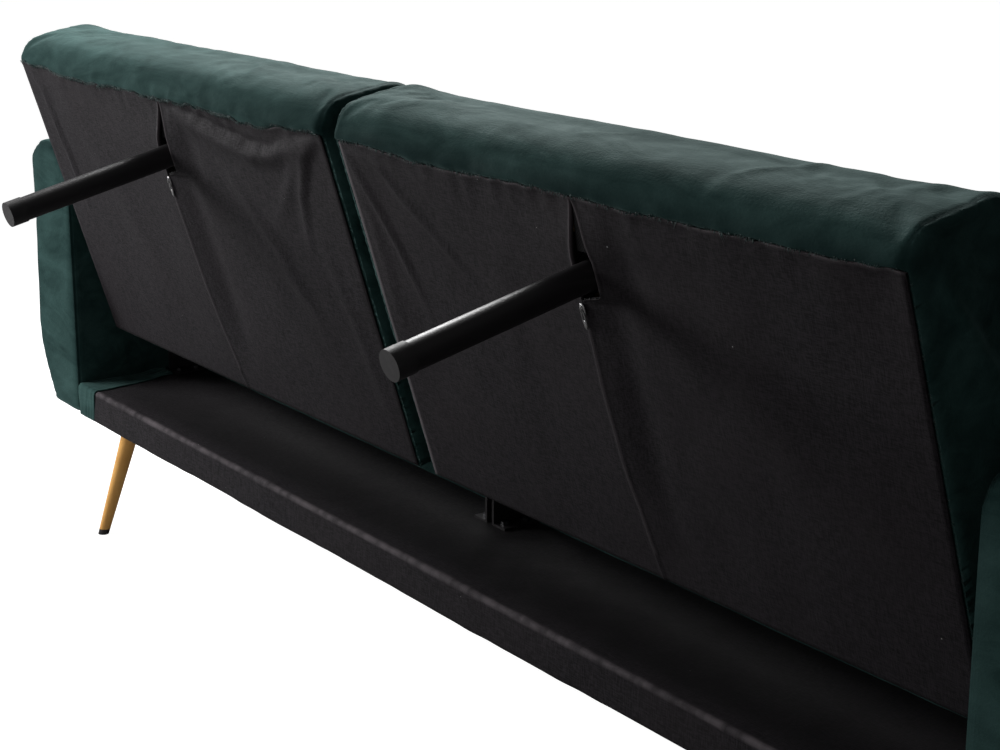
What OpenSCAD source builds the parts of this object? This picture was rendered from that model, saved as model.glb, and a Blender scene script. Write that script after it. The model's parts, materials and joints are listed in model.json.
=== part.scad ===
// Futon sofa bed: a fixed seat between two arms, and a back in two halves that each recline to flat.
// A round leg swings out of each half's rear to hold it level when it lies flat.
// X runs along the sofa, +Y points to its rear and +Z up. The origin is on the floor under the middle.

/* [Overall] */
// Width between the two arms
inner_w = 1850; // [1600:10:2000]
// Depth of the base, front edge to rear edge
base_depth = 745; // [720:5:800]
// Height of the base's underside above the floor
leg_h = 180; // [150:5:220]

/* [Base] */
// Thickness of the base slab
slab_t = 49; // [46:1:60]
// Width of the slab's front and rear rails
rail_w = 64; // [62:1:70]
// Half the width of the rail under the middle
middle_rail_half = 34; // [34:1:45]
// Thickness of the plywood deck
deck_t = 4; // [3:1:5]
// Thickness of the cloth over the rear ledge
ledge_cloth_t = 3; // [2:1:3]
// Width of the velvet strip at each end of the ledge
strip_w = 38; // [30:1:45]
// Length of that strip on top of the ledge
strip_run = 146; // [100:1:148]

/* [Seat] */
// Distance from the base's rear edge to the seat's rear face
seat_setback = 205; // [205:1:215]
// How far the seat stands out over the front of the base
seat_overhang = 7; // [0:1:12]
// Thickness of the foam slab
seat_foam_t = 86; // [70:1:95]

/* [Backs] */
// Height of the lining on the rear of a back, along its slope
back_h = 442; // [420:2:460]
// Thickness of a back
back_t = 150; // [146:1:156]
// How far the backs lean from upright
recline = 17; // [14:0.5:20]
// How far the velvet stands above the lining
top_rise = 34; // [30:1:38]
// Gap from the middle of the sofa to a back's inner end
centre_gap = 14; // [14:0.5:16]
// Gap from a back's outer end to the arm
arm_gap = 21; // [20:1:26]
// Height of a flat back's underside over the ledge
flat_gap = 14; // [12:1:18]

/* [Arms] */
// Width of an arm at its bottom
arm_bottom_w = 97; // [94:1:110]
// Width of an arm where it is widest
arm_w = 154; // [140:1:170]
// Height of an arm's top edges above the floor
arm_shoulder = 588; // [570:1:600]
// Height of the crown on top of an arm
arm_crown = 28; // [10:1:30]
// How far the arms stand out in front of the base
arm_front = 15; // [5:1:20]

/* [Gold legs] */
// Distance from the arm's inner face to a leg's centre, at its top
leg_inset_x = 111; // [100:1:150]
// Distance from the base's edge to a leg's centre, at its top
leg_inset_y = 36; // [34:1:36]
// Slant of the legs from upright
leg_splay = 17.4; // [5:0.1:18]
// Radius of a leg at its top
leg_top_r = 13.5; // [10:0.5:14]
// Radius of a leg at the floor
leg_foot_r = 8; // [6:0.5:10]
// Height of the black foot tip
tip_h = 9; // [8:1:25]

/* [Hinges] */
// Distance from the base's rear edge to the hinge line
hinge_setback = 171; // [170:0.5:172]
// Depth of the hinge line inside a back, from its rear
pivot_v = 122; // [120:1:124]
// Height of the hinge line above a back's lower edge, along its slope
pivot_u = 10; // [8:1:12]
// Radius of a hinge pin
pin_r = 5; // [4:0.5:6]

/* [Support legs] */
// Distance from the lining's top edge to a leg's pivot
support_drop = 88; // [80:1:100]
// Depth of a support leg's pivot inside the back
support_v = 35; // [34:0.5:36]
// Radius of the tube
tube_r = 15.5; // [14:0.5:15.5]
// Wall of the tube
tube_wall = 1.5; // [1:0.1:2]
// Radius of the plastic end cap
cap_r = 16.5; // [16.5:0.5:18]
// Length of the end cap
cap_len = 22; // [20:1:35]
// Upward tilt of the leg from square to the lining
support_tilt = 3.3; // [0:0.1:5]

/* [Hidden] */

$fn = 48;
LEFT = -1;
RIGHT = 1;
velvet = [0.13, 0.24, 0.23];
black_cloth = [0.10, 0.09, 0.10];
black = [0.06, 0.06, 0.07];
gold = [0.83, 0.62, 0.25];
timber = [0.76, 0.62, 0.44];
webbing = [0.80, 0.76, 0.66];
foam = [0.93, 0.88, 0.70];
zinc = [0.72, 0.73, 0.75];

// Thin layers and small clearances
dust_t = 1.5;
leg_plate_t = 2.5;
velvet_t = 3;
lining_t = 1.5;
strip_t = 1.5;
strap_t = 2;
strap_w = 50;
inner_gap = 0.5;
fit_gap = 0.05;
arc_steps = 8;

// Base slab, from the bottom up
half_w = inner_w / 2;
slab_top = leg_h + slab_t;
plate_z = leg_h + dust_t;
rail_z = plate_z + leg_plate_t;
ledge_z = slab_top - ledge_cloth_t;
deck_z = ledge_z - deck_t;
rail_h = deck_z - rail_z;
edge_r = 8;
stud_r = 4;
leg_screw_r = 2;
rail_rear_y = -ledge_cloth_t - inner_gap;
end_rail_w = 57;
end_rail_x = half_w - ledge_cloth_t - end_rail_w;
rails_rear_y = rail_rear_y - rail_w;
rails_front_y = -base_depth + rail_w;

// Seat: its top is level with a flat back
seat_rear_y = -seat_setback;
seat_front_y = -base_depth - seat_overhang;
seat_top = slab_top + flat_gap + back_t;
seat_x0 = 2;
seat_x1 = half_w - 7;
seat_front_r = 40;
seat_edge_r = 14;
foam_z = seat_top - velvet_t - seat_foam_t - inner_gap;
strap_z = foam_z - 2 * strap_t - inner_gap;
box_w = 28;
box_x0 = seat_x0 + velvet_t + inner_gap;
box_x1 = seat_x1 - velvet_t - inner_gap;
box_y0 = seat_front_y + velvet_t + inner_gap;
box_y1 = seat_rear_y - velvet_t - inner_gap;
box_h = strap_z - slab_top - inner_gap;

// Backs, in a frame of their own: X along the sofa, -Y to the front, +Z up the slope
pivot_y = -hinge_setback;
pivot_z = slab_top + flat_gap + pivot_v;
lining_y = pivot_y - pivot_u * sin(recline) + pivot_v * cos(recline);
lining_z = pivot_z - pivot_u * cos(recline) - pivot_v * sin(recline);
back_x0 = centre_gap;
back_x1 = half_w - arm_gap;
lining_side = 6;
lining_end = 4;
back_mid = (back_x0 + lining_side + back_x1 - lining_end) / 2;
back_bottom = 4;
front_top_r = 40;
rear_top_r = 30;
heel_r = back_t - pivot_v;
frame_v0 = 3;
frame_v1 = 60;
frame_h = 40;
frame_edge = 4;
post_w = 40;
stud_w = 16;

// The slit in the lining, its zip and the support leg
slit_half = cap_r + 2;
tape_w = 8;
leg_u = back_h - support_drop;
bracket_t = 3.5;
bracket_half = slit_half + 4;
bracket_h = 28;
leg_pin_r = 4;
root_len = 14;
foot_clear = 2.5;
support_len = (slab_top + flat_gap + support_v - foot_clear) / cos(support_tilt);
cap_wall = 3;
slider_u = leg_u - 36;
slider_w = 7.6;
slider_len = 14;
slider_t = 4;
pull_len = 24;

// Hinges: a moving plate on each end of a back and a fixed plate beside it
back_plate_t = 3.5;
seat_plate_t = 4;
side_gap = 0.5;
outer_back_plate = back_x1 + side_gap;
outer_seat_plate = outer_back_plate + back_plate_t + side_gap;
inner_back_plate = back_x0 - side_gap - back_plate_t;
inner_seat_plate = inner_back_plate - side_gap - seat_plate_t;
pin_head_t = 3;
flange_w = 28;
flange_y0 = pivot_y - 30;
flange_y1 = pivot_y + 21;
disc_r = 19;
bolt_r = 3;
bolt_len = 30;
bolt_head_t = 4.5;
bolt_ys = [pivot_y - 20, pivot_y + 10];
plate_screws = [[30, 112], [32, 88]];
screw_r = 2.5;
pawl_pivot = [pivot_y - 8, pivot_z - 50];

// Arms
arm_x1 = half_w + arm_w;
arm_front_y = -base_depth - arm_front;
arm_belly_z = leg_h + 174;
arm_outer_r = 16;
arm_inner_r = 44;
arm_cavity = [half_w + 10, half_w + 75];
arm_frame_z = arm_shoulder - 28;
arm_end_wall = 25;
arm_bolt_r = 4;
arm_bolt_z = rail_z + rail_h / 2;
arm_bolt_ys = [-300, -560];

// Where the row's origin lies between the arms' front and the support legs' tips
tip_angle = recline - support_tilt;
leg_pivot_y = lining_y + leg_u * sin(recline) - support_v * cos(recline);
tip_y = leg_pivot_y + support_len * cos(tip_angle) + cap_r * sin(tip_angle);
row_y = -(tip_y + arm_front_y) / 2;

function arc(cx, cy, r, a0, a1) =
    [for (i = [0:arc_steps]) let (a = a0 + (a1 - a0) * i / arc_steps) [cx + r * cos(a), cy + r * sin(a)]];

// Outline of a back across its thickness, drawn in by a stated inset
function back_outline(inset) = let (heel = heel_r - inset, drop = pivot_u + back_bottom - inset) concat(
    arc(-pivot_v, pivot_u, heel, 180, 180 + asin(drop / heel)),
    [[-inset, inset - back_bottom]],
    arc(-rear_top_r, back_h + top_rise - rear_top_r, rear_top_r - inset, 0, 90),
    arc(front_top_r - back_t, back_h + top_rise - front_top_r, front_top_r - inset, 90, 180));

// Outline of the seat across its depth, drawn in by a stated inset
function seat_outline(inset) = concat(
    [[seat_front_y + inset, slab_top + inset], [seat_rear_y - inset, slab_top + inset]],
    arc(seat_rear_y - seat_edge_r, seat_top - seat_edge_r, seat_edge_r - inset, 0, 90),
    arc(seat_front_y + seat_front_r, seat_top - seat_front_r, seat_front_r - inset, 90, 180));

// Outline of an arm across its width: the outer face swells from a narrow foot
function arm_outline() = concat(
    [[half_w, leg_h]],
    [for (i = [0:arc_steps]) let (t = 1 - i / arc_steps)
        [arm_x1 - (arm_w - arm_bottom_w) * t * t, arm_belly_z - (arm_belly_z - leg_h) * t]],
    arc(arm_x1 - arm_outer_r, arm_shoulder - arm_outer_r, arm_outer_r, 0, 60),
    [for (i = [1:arc_steps - 1]) let (t = i / arc_steps)
        [arm_x1 - arm_outer_r / 2 - (arm_w - arm_outer_r / 2 - arm_inner_r / 2) * t,
            arm_shoulder - 4 + 4 * arm_crown * t * (1 - t)]],
    arc(half_w + arm_inner_r, arm_shoulder - arm_inner_r, arm_inner_r, 120, 180));

module in_row() {
    translate([0, row_y, 0]) children();
}

module on_side(side) {
    if (side < 0) mirror([1, 0, 0]) children();
    else children();
}

module both_sides() {
    for (side = [LEFT, RIGHT]) on_side(side) children();
}

module on_back(side) {
    in_row() translate([0, lining_y, lining_z]) rotate([-recline, 0, 0]) on_side(side) children();
}

// Extrudes a shape drawn in the Y-Z plane along X, from x0 to x1
module along_x(x0, x1) {
    translate([x0, 0, 0]) rotate([90, 0, 90]) linear_extrude(x1 - x0) children();
}

// A box from its lowest to its highest corner
module block(low, high) {
    translate(low) cube(high - low);
}

// A cylinder along X, from x0 to x1
module rod_x(x0, x1, y, z, r) {
    translate([x0, y, z]) rotate([0, 90, 0]) cylinder(h = x1 - x0, r = r);
}

// Places its children over the top of a gold leg, turned so that +X is the way the leg slants
module at_leg(rear) {
    translate([half_w - leg_inset_x, rear ? -leg_inset_y : leg_inset_y - base_depth, 0])
        rotate([0, 0, rear ? 45 : -45]) children();
}

module at_legs() {
    both_sides() for (rear = [false, true]) at_leg(rear) children();
}

module at_hinge_bolts() {
    both_sides() for (x = [inner_seat_plate + flange_w / 2, outer_seat_plate + seat_plate_t - flange_w / 2])
        for (y = bolt_ys) translate([x, y, 0]) children();
}

module at_arm_bolts() {
    both_sides() for (y = arm_bolt_ys) translate([0, y, arm_bolt_z]) children();
}

module hinge_bolt_holes() {
    at_hinge_bolts() translate([0, 0, slab_top - bolt_len]) cylinder(h = bolt_len + 20, r = bolt_r + fit_gap);
}

module arm_bolt_holes() {
    at_arm_bolts() rod_x(end_rail_x - 1, arm_cavity[1] - 15, 0, 0, arm_bolt_r + fit_gap);
}

module leg_fixing_holes() {
    at_legs() {
        cylinder(h = rail_z + 24, r = stud_r + fit_gap);
        leg_screw_places() cylinder(h = rail_z + 18, r = leg_screw_r + fit_gap);
    }
}

module leg_screw_places() {
    rotate([0, 0, 45]) for (x = [-1, 1]) for (y = [-1, 1]) translate([x * 21, y * 21, 0]) children();
}

// A slanted, tapering cone from below the floor to above the leg's top
module leg_cone() {
    axis_len = leg_h / cos(leg_splay);
    taper = (leg_top_r - leg_foot_r) / axis_len;
    spare = 12;
    translate([0, 0, leg_h]) rotate([0, -leg_splay, 0]) translate([0, 0, -axis_len - spare])
        cylinder(h = axis_len + 2 * spare, r1 = leg_foot_r - taper * spare, r2 = leg_top_r + taper * spare);
}

module gold_leg(side, rear) {
    span = 2 * leg_h;
    in_row() color(gold) on_side(side) at_leg(rear) {
        intersection() {
            leg_cone();
            block([-span, -span, tip_h], [span, span, plate_z]);
        }
        translate([0, 0, plate_z - 1]) cylinder(h = 22, r = stud_r);
    }
}

module base_rear_rail() {
    in_row() color(timber) difference() {
        block([-half_w + ledge_cloth_t, rails_rear_y, rail_z],
            [half_w - ledge_cloth_t, rail_rear_y, deck_z]);
        leg_fixing_holes();
    }
}

module base_front_rail() {
    in_row() color(timber) difference() {
        block([-half_w + ledge_cloth_t, -base_depth, rail_z],
            [half_w - ledge_cloth_t, rails_front_y, deck_z]);
        leg_fixing_holes();
    }
}

module base_end_rails() {
    in_row() color(timber) difference() {
        both_sides() block([end_rail_x, rails_front_y, rail_z],
            [end_rail_x + end_rail_w, rails_rear_y, deck_z]);
        hinge_bolt_holes();
        arm_bolt_holes();
    }
}

module base_middle_rail() {
    in_row() color(timber) difference() {
        block([-middle_rail_half, rails_front_y, rail_z], [middle_rail_half, rails_rear_y, deck_z]);
        hinge_bolt_holes();
    }
}

module deck_board() {
    in_row() color(timber) difference() {
        block([-half_w + ledge_cloth_t, -base_depth, deck_z], [half_w - ledge_cloth_t, -edge_r, ledge_z]);
        hinge_bolt_holes();
    }
}

module seat_box_rails() {
    in_row() color(timber) both_sides() for (y = [box_y0, box_y1 - box_w])
        block([box_x0, y, slab_top], [box_x1, y + box_w, slab_top + box_h]);
}

module seat_box_ends() {
    in_row() color(timber) both_sides() for (x = [box_x0, box_x1 - box_w])
        block([x, box_y0 + box_w, slab_top], [x + box_w, box_y1 - box_w, slab_top + box_h]);
}

module seat_straps() {
    z = slab_top + box_h;
    along = 4;
    across = 8;
    in_row() color(webbing) both_sides() {
        for (i = [1:along]) let (y = box_y0 + (box_y1 - box_y0) * i / (along + 1))
            block([box_x0, y - strap_w / 2, z], [box_x1, y + strap_w / 2, z + strap_t]);
        for (i = [1:across]) let (x = box_x0 + (box_x1 - box_x0) * i / (across + 1))
            block([x - strap_w / 2, box_y0, z + strap_t + inner_gap / 2],
                [x + strap_w / 2, box_y1, z + 2 * strap_t + inner_gap / 2]);
    }
}

module seat_foam(side) {
    inset = velvet_t + inner_gap;
    in_row() color(foam) on_side(side) intersection() {
        along_x(seat_x0 + inset, seat_x1 - inset) polygon(seat_outline(inset));
        block([0, seat_front_y, foam_z], [half_w, seat_rear_y, seat_top]);
    }
}

module seat_cover(side) {
    in_row() color(velvet) on_side(side) difference() {
        along_x(seat_x0, seat_x1) polygon(seat_outline(0));
        along_x(seat_x0 + velvet_t, seat_x1 - velvet_t) polygon(seat_outline(velvet_t));
        block([seat_x0 + velvet_t, seat_front_y + velvet_t, slab_top - 1],
            [seat_x1 - velvet_t, seat_rear_y - velvet_t, slab_top + 2 * velvet_t]);
    }
}

module base_border() {
    in_row() color(velvet) block([-half_w + 1, -base_depth - velvet_t, leg_h],
        [half_w - 1, -base_depth, slab_top - inner_gap]);
}

// The ledge's cloth turns over the slab's rear edge and down its rear face
module ledge_cover() {
    in_row() color(black_cloth) difference() {
        along_x(-half_w + 1, half_w - 1) polygon(concat(
            [[-base_depth, ledge_z], [-edge_r, ledge_z]],
            arc(-edge_r, ledge_z - edge_r + ledge_cloth_t, edge_r - ledge_cloth_t, 90, 0),
            [[-ledge_cloth_t, leg_h], [0, leg_h]],
            arc(-edge_r, slab_top - edge_r, edge_r, 0, 90),
            [[-base_depth, slab_top]]));
        hinge_bolt_holes();
    }
}

module ledge_end_strips() {
    in_row() color(velvet) both_sides() along_x(half_w - 1 - strip_w, half_w - 1) polygon(concat(
        [[-strip_run, slab_top], [-edge_r, slab_top]],
        arc(-edge_r, slab_top - edge_r, edge_r, 90, 0),
        [[0, leg_h], [strip_t, leg_h]],
        arc(-edge_r, slab_top - edge_r, edge_r + strip_t, 0, 90),
        [[-strip_run, slab_top + strip_t]]));
}

module dust_cover() {
    in_row() color(black_cloth) difference() {
        block([-half_w + ledge_cloth_t, -base_depth, leg_h],
            [half_w - ledge_cloth_t, rail_rear_y, plate_z - fit_gap]);
        at_legs() translate([0, 0, leg_h - 1]) cylinder(h = 10, r = leg_top_r + 2);
    }
}

module foot_tips() {
    span = 2 * leg_h;
    in_row() color(black) at_legs() intersection() {
        leg_cone();
        block([-span, -span, 0], [span, span, tip_h]);
    }
}

module leg_plates() {
    half = 30;
    in_row() color(zinc) at_legs() difference() {
        rotate([0, 0, 45]) block([-half, -half, plate_z], [half, half, rail_z]);
        cylinder(h = rail_z + 1, r = stud_r + fit_gap);
        leg_screw_places() cylinder(h = rail_z + 1, r = 2 * leg_screw_r + fit_gap);
    }
}

module leg_screws() {
    in_row() color(zinc) at_legs() leg_screw_places() {
        translate([0, 0, plate_z]) cylinder(h = leg_plate_t, r = 2 * leg_screw_r);
        translate([0, 0, rail_z - 0.5]) cylinder(h = 17, r = leg_screw_r);
    }
}

module arm_pad(side) {
    in_row() color(velvet) on_side(side) difference() {
        rotate([90, 0, 0]) linear_extrude(-arm_front_y) polygon(arm_outline());
        block([arm_cavity[0], arm_front_y + arm_end_wall, leg_h - 1],
            [arm_cavity[1], -arm_end_wall, arm_frame_z]);
        arm_bolt_holes();
    }
}

module arm_rails() {
    y0 = arm_front_y + arm_end_wall + inner_gap;
    y1 = -arm_end_wall - inner_gap;
    in_row() color(timber) difference() {
        both_sides() for (z = [leg_h, arm_frame_z - inner_gap - frame_h])
            block([arm_cavity[0] + inner_gap, y0, z], [arm_cavity[1] - inner_gap, y1, z + frame_h]);
        arm_bolt_holes();
    }
}

module arm_posts() {
    y0 = arm_front_y + arm_end_wall + inner_gap;
    y1 = -arm_end_wall - inner_gap;
    in_row() color(timber) both_sides() for (y = [y0, y1 - post_w])
        block([arm_cavity[0] + inner_gap, y, leg_h + frame_h],
            [arm_cavity[1] - inner_gap, y + post_w, arm_frame_z - inner_gap - frame_h]);
}

module arm_bolts() {
    in_row() color(zinc) at_arm_bolts() {
        rod_x(end_rail_x - 5, end_rail_x, 0, 0, 7);
        rod_x(end_rail_x - 1, arm_cavity[1] - 16, 0, 0, arm_bolt_r);
    }
}

module seat_plate(x0, flange_x0) {
    neck = 16;
    difference() {
        union() {
            along_x(x0, x0 + seat_plate_t) {
                polygon([[flange_y0, slab_top], [flange_y1, slab_top], [flange_y1, slab_top + 30],
                    [pivot_y + neck, pivot_z], [pivot_y - neck, pivot_z], [flange_y0, slab_top + 30]]);
                translate([pivot_y, pivot_z]) circle(r = disc_r - 1);
            }
            block([flange_x0, flange_y0, slab_top],
                [flange_x0 + flange_w, flange_y1, slab_top + seat_plate_t]);
        }
        rod_x(x0 - 1, x0 + seat_plate_t + 1, pivot_y, pivot_z, pin_r);
    }
}

module hinge_seat_plates() {
    in_row() color(black) difference() {
        both_sides() {
            seat_plate(outer_seat_plate, outer_seat_plate + seat_plate_t - flange_w);
            seat_plate(inner_seat_plate, inner_seat_plate);
        }
        hinge_bolt_holes();
    }
}

module hinge_pins() {
    outer_x = outer_seat_plate + seat_plate_t;
    in_row() color(zinc) both_sides() {
        rod_x(outer_back_plate + fit_gap, outer_x, pivot_y, pivot_z, pin_r);
        rod_x(outer_x, outer_x + pin_head_t, pivot_y, pivot_z, 2 * pin_r);
        rod_x(inner_seat_plate, inner_back_plate + back_plate_t - fit_gap, pivot_y, pivot_z, pin_r);
        rod_x(inner_seat_plate - pin_head_t, inner_seat_plate, pivot_y, pivot_z, 2 * pin_r);
    }
}

// A pawl stands just clear of the moving plate's toothed disc
module pawl(x0, x1) {
    along_x(x0, x1) translate(pawl_pivot) {
        circle(r = 6);
        polygon([[-4, 0], [4, 0], [7, 29], [-1, 28]]);
    }
}

module hinge_pawls() {
    in_row() color(black) both_sides() {
        pawl(outer_back_plate + side_gap, outer_seat_plate);
        pawl(inner_seat_plate + seat_plate_t, inner_back_plate + back_plate_t - side_gap);
    }
}

module hinge_bolts() {
    top = slab_top + seat_plate_t;
    in_row() color(zinc) at_hinge_bolts() {
        translate([0, 0, top - bolt_len]) cylinder(h = bolt_len + 1, r = bolt_r);
        translate([0, 0, top]) cylinder(h = bolt_head_t, r = 2 * bolt_r, $fn = 6);
    }
}

module back_rails(side) {
    color(timber) on_back(side) for (z = [frame_edge, back_h - frame_edge - frame_h])
        block([back_x0 + velvet_t + inner_gap, -frame_v1, z],
            [back_x1 - velvet_t - inner_gap, -frame_v0, z + frame_h]);
}

module back_posts(side) {
    z0 = frame_edge + frame_h;
    z1 = back_h - frame_edge - frame_h;
    inner = back_x0 + velvet_t + inner_gap;
    outer = back_x1 - velvet_t - inner_gap - post_w;
    color(timber) on_back(side) difference() {
        union() {
            for (x = [inner, outer]) block([x, -frame_v1, z0], [x + post_w, -frame_v0, z1]);
            for (x = [back_mid - bracket_half - stud_w, back_mid + bracket_half])
                block([x, -frame_v1, z0], [x + stud_w, -frame_v0, z1]);
        }
        plate_screw_rods(screw_r + fit_gap, 26);
    }
}

module back_straps(side) {
    count = 7;
    color(webbing) on_back(side) for (i = [1:count])
        let (x = back_x0 + (back_x1 - back_x0) * i / (count + 1))
            block([x - strap_w / 2, -frame_v1 - strap_t, 2 * frame_edge],
                [x + strap_w / 2, -frame_v1, back_h - 2 * frame_edge]);
}

module back_foam(side) {
    inset = velvet_t + inner_gap;
    color(foam) on_back(side) difference() {
        along_x(back_x0 + inset, back_x1 - inset) polygon(back_outline(inset));
        block([0, -frame_v1 - strap_t - inner_gap, -back_bottom - 1],
            [half_w, 1, back_h - frame_edge + inner_gap]);
    }
}

module back_cover(side) {
    color(velvet) on_back(side) difference() {
        along_x(back_x0, back_x1) polygon(back_outline(0));
        along_x(back_x0 + velvet_t, back_x1 - velvet_t) polygon(back_outline(velvet_t));
        block([back_x0 + lining_side, -2 * velvet_t, 0], [back_x1 - lining_end, 1, back_h]);
        plate_screw_rods(screw_r + fit_gap, 26);
    }
}

module lining(side) {
    edge = slit_half + tape_w;
    color(black_cloth) on_back(side) {
        block([back_x0 + lining_side, -lining_t, 0], [back_mid - edge, 0, back_h]);
        block([back_mid + edge, -lining_t, 0], [back_x1 - lining_end, 0, back_h]);
    }
}

module zip_tape(side) {
    color(black) on_back(side) for (x = [back_mid - slit_half - tape_w, back_mid + slit_half])
        block([x, -lining_t, 0], [x + tape_w, 0, back_h]);
}

// Screws that hold the moving hinge plates run along X into the end posts
module plate_screw_rods(r, depth) {
    for (p = plate_screws) {
        rod_x(outer_back_plate - depth, outer_back_plate + back_plate_t + 1, -p[0], p[1], r);
        rod_x(inner_back_plate - 1, inner_back_plate + back_plate_t + depth, -p[0], p[1], r);
    }
}

module hinge_screws(side) {
    color(zinc) on_back(side) {
        plate_screw_rods(screw_r, 24);
        for (p = plate_screws) {
            rod_x(outer_back_plate + back_plate_t, outer_back_plate + back_plate_t + 2.5, -p[0], p[1], 5);
            rod_x(inner_back_plate - 2.5, inner_back_plate, -p[0], p[1], 5);
        }
    }
}

module back_plate(x0) {
    notch_r = 2;
    along_x(x0, x0 + back_plate_t) difference() {
        union() {
            translate([-pivot_v, pivot_u]) circle(r = disc_r);
            polygon([[-104, 14], [-30, 75], [-16, 95], [-16, 125], [-46, 125], [-132, 22]]);
        }
        translate([-pivot_v, pivot_u]) circle(r = pin_r + fit_gap);
        for (a = [165:18:291]) translate([-pivot_v + disc_r * cos(a), pivot_u + disc_r * sin(a)])
            circle(r = notch_r);
        for (p = plate_screws) translate([-p[0], p[1]]) circle(r = screw_r + fit_gap);
    }
}

module hinge_back_plates(side) {
    color(black) on_back(side) {
        back_plate(outer_back_plate);
        back_plate(inner_back_plate);
    }
}

module leg_bracket(side) {
    v0 = 12;
    v1 = 54;
    color(black) on_back(side) difference() {
        union() {
            for (x = [back_mid - bracket_half, back_mid + bracket_half - bracket_t])
                block([x, -v1, leg_u - bracket_h], [x + bracket_t, -v0, leg_u + bracket_h]);
            block([back_mid - bracket_half, -v1, leg_u + bracket_h - bracket_t],
                [back_mid + bracket_half, -v0, leg_u + bracket_h]);
        }
        rod_x(back_mid - bracket_half - 1, back_mid + bracket_half + 1, -support_v, leg_u, leg_pin_r);
    }
}

module leg_pin(side) {
    color(zinc) on_back(side)
        rod_x(back_mid - bracket_half, back_mid + bracket_half, -support_v, leg_u, leg_pin_r);
}

// Places its children on the support leg's pivot, with +Z along the leg
module on_support(side) {
    on_back(side) translate([back_mid, -support_v, leg_u]) rotate([support_tilt - 90, 0, 0]) children();
}

module support_tube(side) {
    length = support_len + root_len - cap_wall;
    color(black) on_support(side) difference() {
        translate([0, 0, -root_len]) cylinder(h = length, r = tube_r);
        translate([0, 0, -root_len - 1]) cylinder(h = length + 2, r = tube_r - tube_wall);
        rod_x(-tube_r - 1, tube_r + 1, 0, 0, leg_pin_r + fit_gap);
    }
}

module support_cap(side) {
    color(black) on_support(side) difference() {
        translate([0, 0, support_len - cap_len]) cylinder(h = cap_len, r = cap_r);
        translate([0, 0, support_len - cap_len - 1]) cylinder(h = cap_len - cap_wall + 1, r = tube_r);
    }
}

// Both sliders ride on the tape to the right of their slit
module zip_slider(side) {
    mid = side * back_mid + slit_half + tape_w / 2;
    gap = 0.3;
    color(zinc) on_back(RIGHT) translate([mid, gap, slider_u]) difference() {
        union() {
            block([-slider_w / 2, 0, -slider_len / 2], [slider_w / 2, slider_t, slider_len / 2]);
            block([-slider_w / 2 + 1, slider_t - 1, -slider_len / 2 - pull_len],
                [slider_w / 2 - 1, slider_t + 0.5, -slider_len / 2 + 4]);
        }
        block([-1.5, slider_t - 2, -slider_len / 2 - pull_len + 3],
            [1.5, slider_t + 1, -slider_len / 2 - pull_len + 9]);
    }
}

base_rear_rail();
base_front_rail();
base_end_rails();
base_middle_rail();
deck_board();
seat_box_rails();
seat_box_ends();
seat_straps();
seat_foam(LEFT);  // seat_foam_left
seat_foam(RIGHT);  // seat_foam_right
seat_cover(LEFT);  // seat_cover_left
seat_cover(RIGHT);  // seat_cover_right
base_border();
ledge_cover();
ledge_end_strips();
dust_cover();
gold_leg(LEFT, false);  // leg_front_left
gold_leg(RIGHT, false);  // leg_front_right
gold_leg(LEFT, true);  // leg_rear_left
gold_leg(RIGHT, true);  // leg_rear_right
foot_tips();
leg_plates();
leg_screws();
arm_rails();
arm_posts();
arm_pad(LEFT);  // arm_pad_left
arm_pad(RIGHT);  // arm_pad_right
arm_bolts();
hinge_seat_plates();
hinge_pins();
hinge_pawls();
hinge_bolts();
back_rails(LEFT);  // back_rails_left
back_rails(RIGHT);  // back_rails_right
back_posts(LEFT);  // back_posts_left
back_posts(RIGHT);  // back_posts_right
back_straps(LEFT);  // back_straps_left
back_straps(RIGHT);  // back_straps_right
back_foam(LEFT);  // back_foam_left
back_foam(RIGHT);  // back_foam_right
back_cover(LEFT);  // back_cover_left
back_cover(RIGHT);  // back_cover_right
lining(LEFT);  // lining_left
lining(RIGHT);  // lining_right
zip_tape(LEFT);  // zip_tape_left
zip_tape(RIGHT);  // zip_tape_right
hinge_back_plates(LEFT);  // hinge_back_plates_left
hinge_back_plates(RIGHT);  // hinge_back_plates_right
hinge_screws(LEFT);  // hinge_screws_left
hinge_screws(RIGHT);  // hinge_screws_right
leg_bracket(LEFT);  // leg_bracket_left
leg_bracket(RIGHT);  // leg_bracket_right
leg_pin(LEFT);  // leg_pin_left
leg_pin(RIGHT);  // leg_pin_right
support_tube(LEFT);  // support_tube_left
support_tube(RIGHT);  // support_tube_right
support_cap(LEFT);  // support_cap_left
support_cap(RIGHT);  // support_cap_right
zip_slider(LEFT);  // zip_slider_left
zip_slider(RIGHT);  // zip_slider_right
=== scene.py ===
"""Looks of the velvet futon sofa bed, in metres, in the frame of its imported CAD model."""

import json
import math

import bpy
import numpy as np
from mathutils import Matrix, Vector


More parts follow.
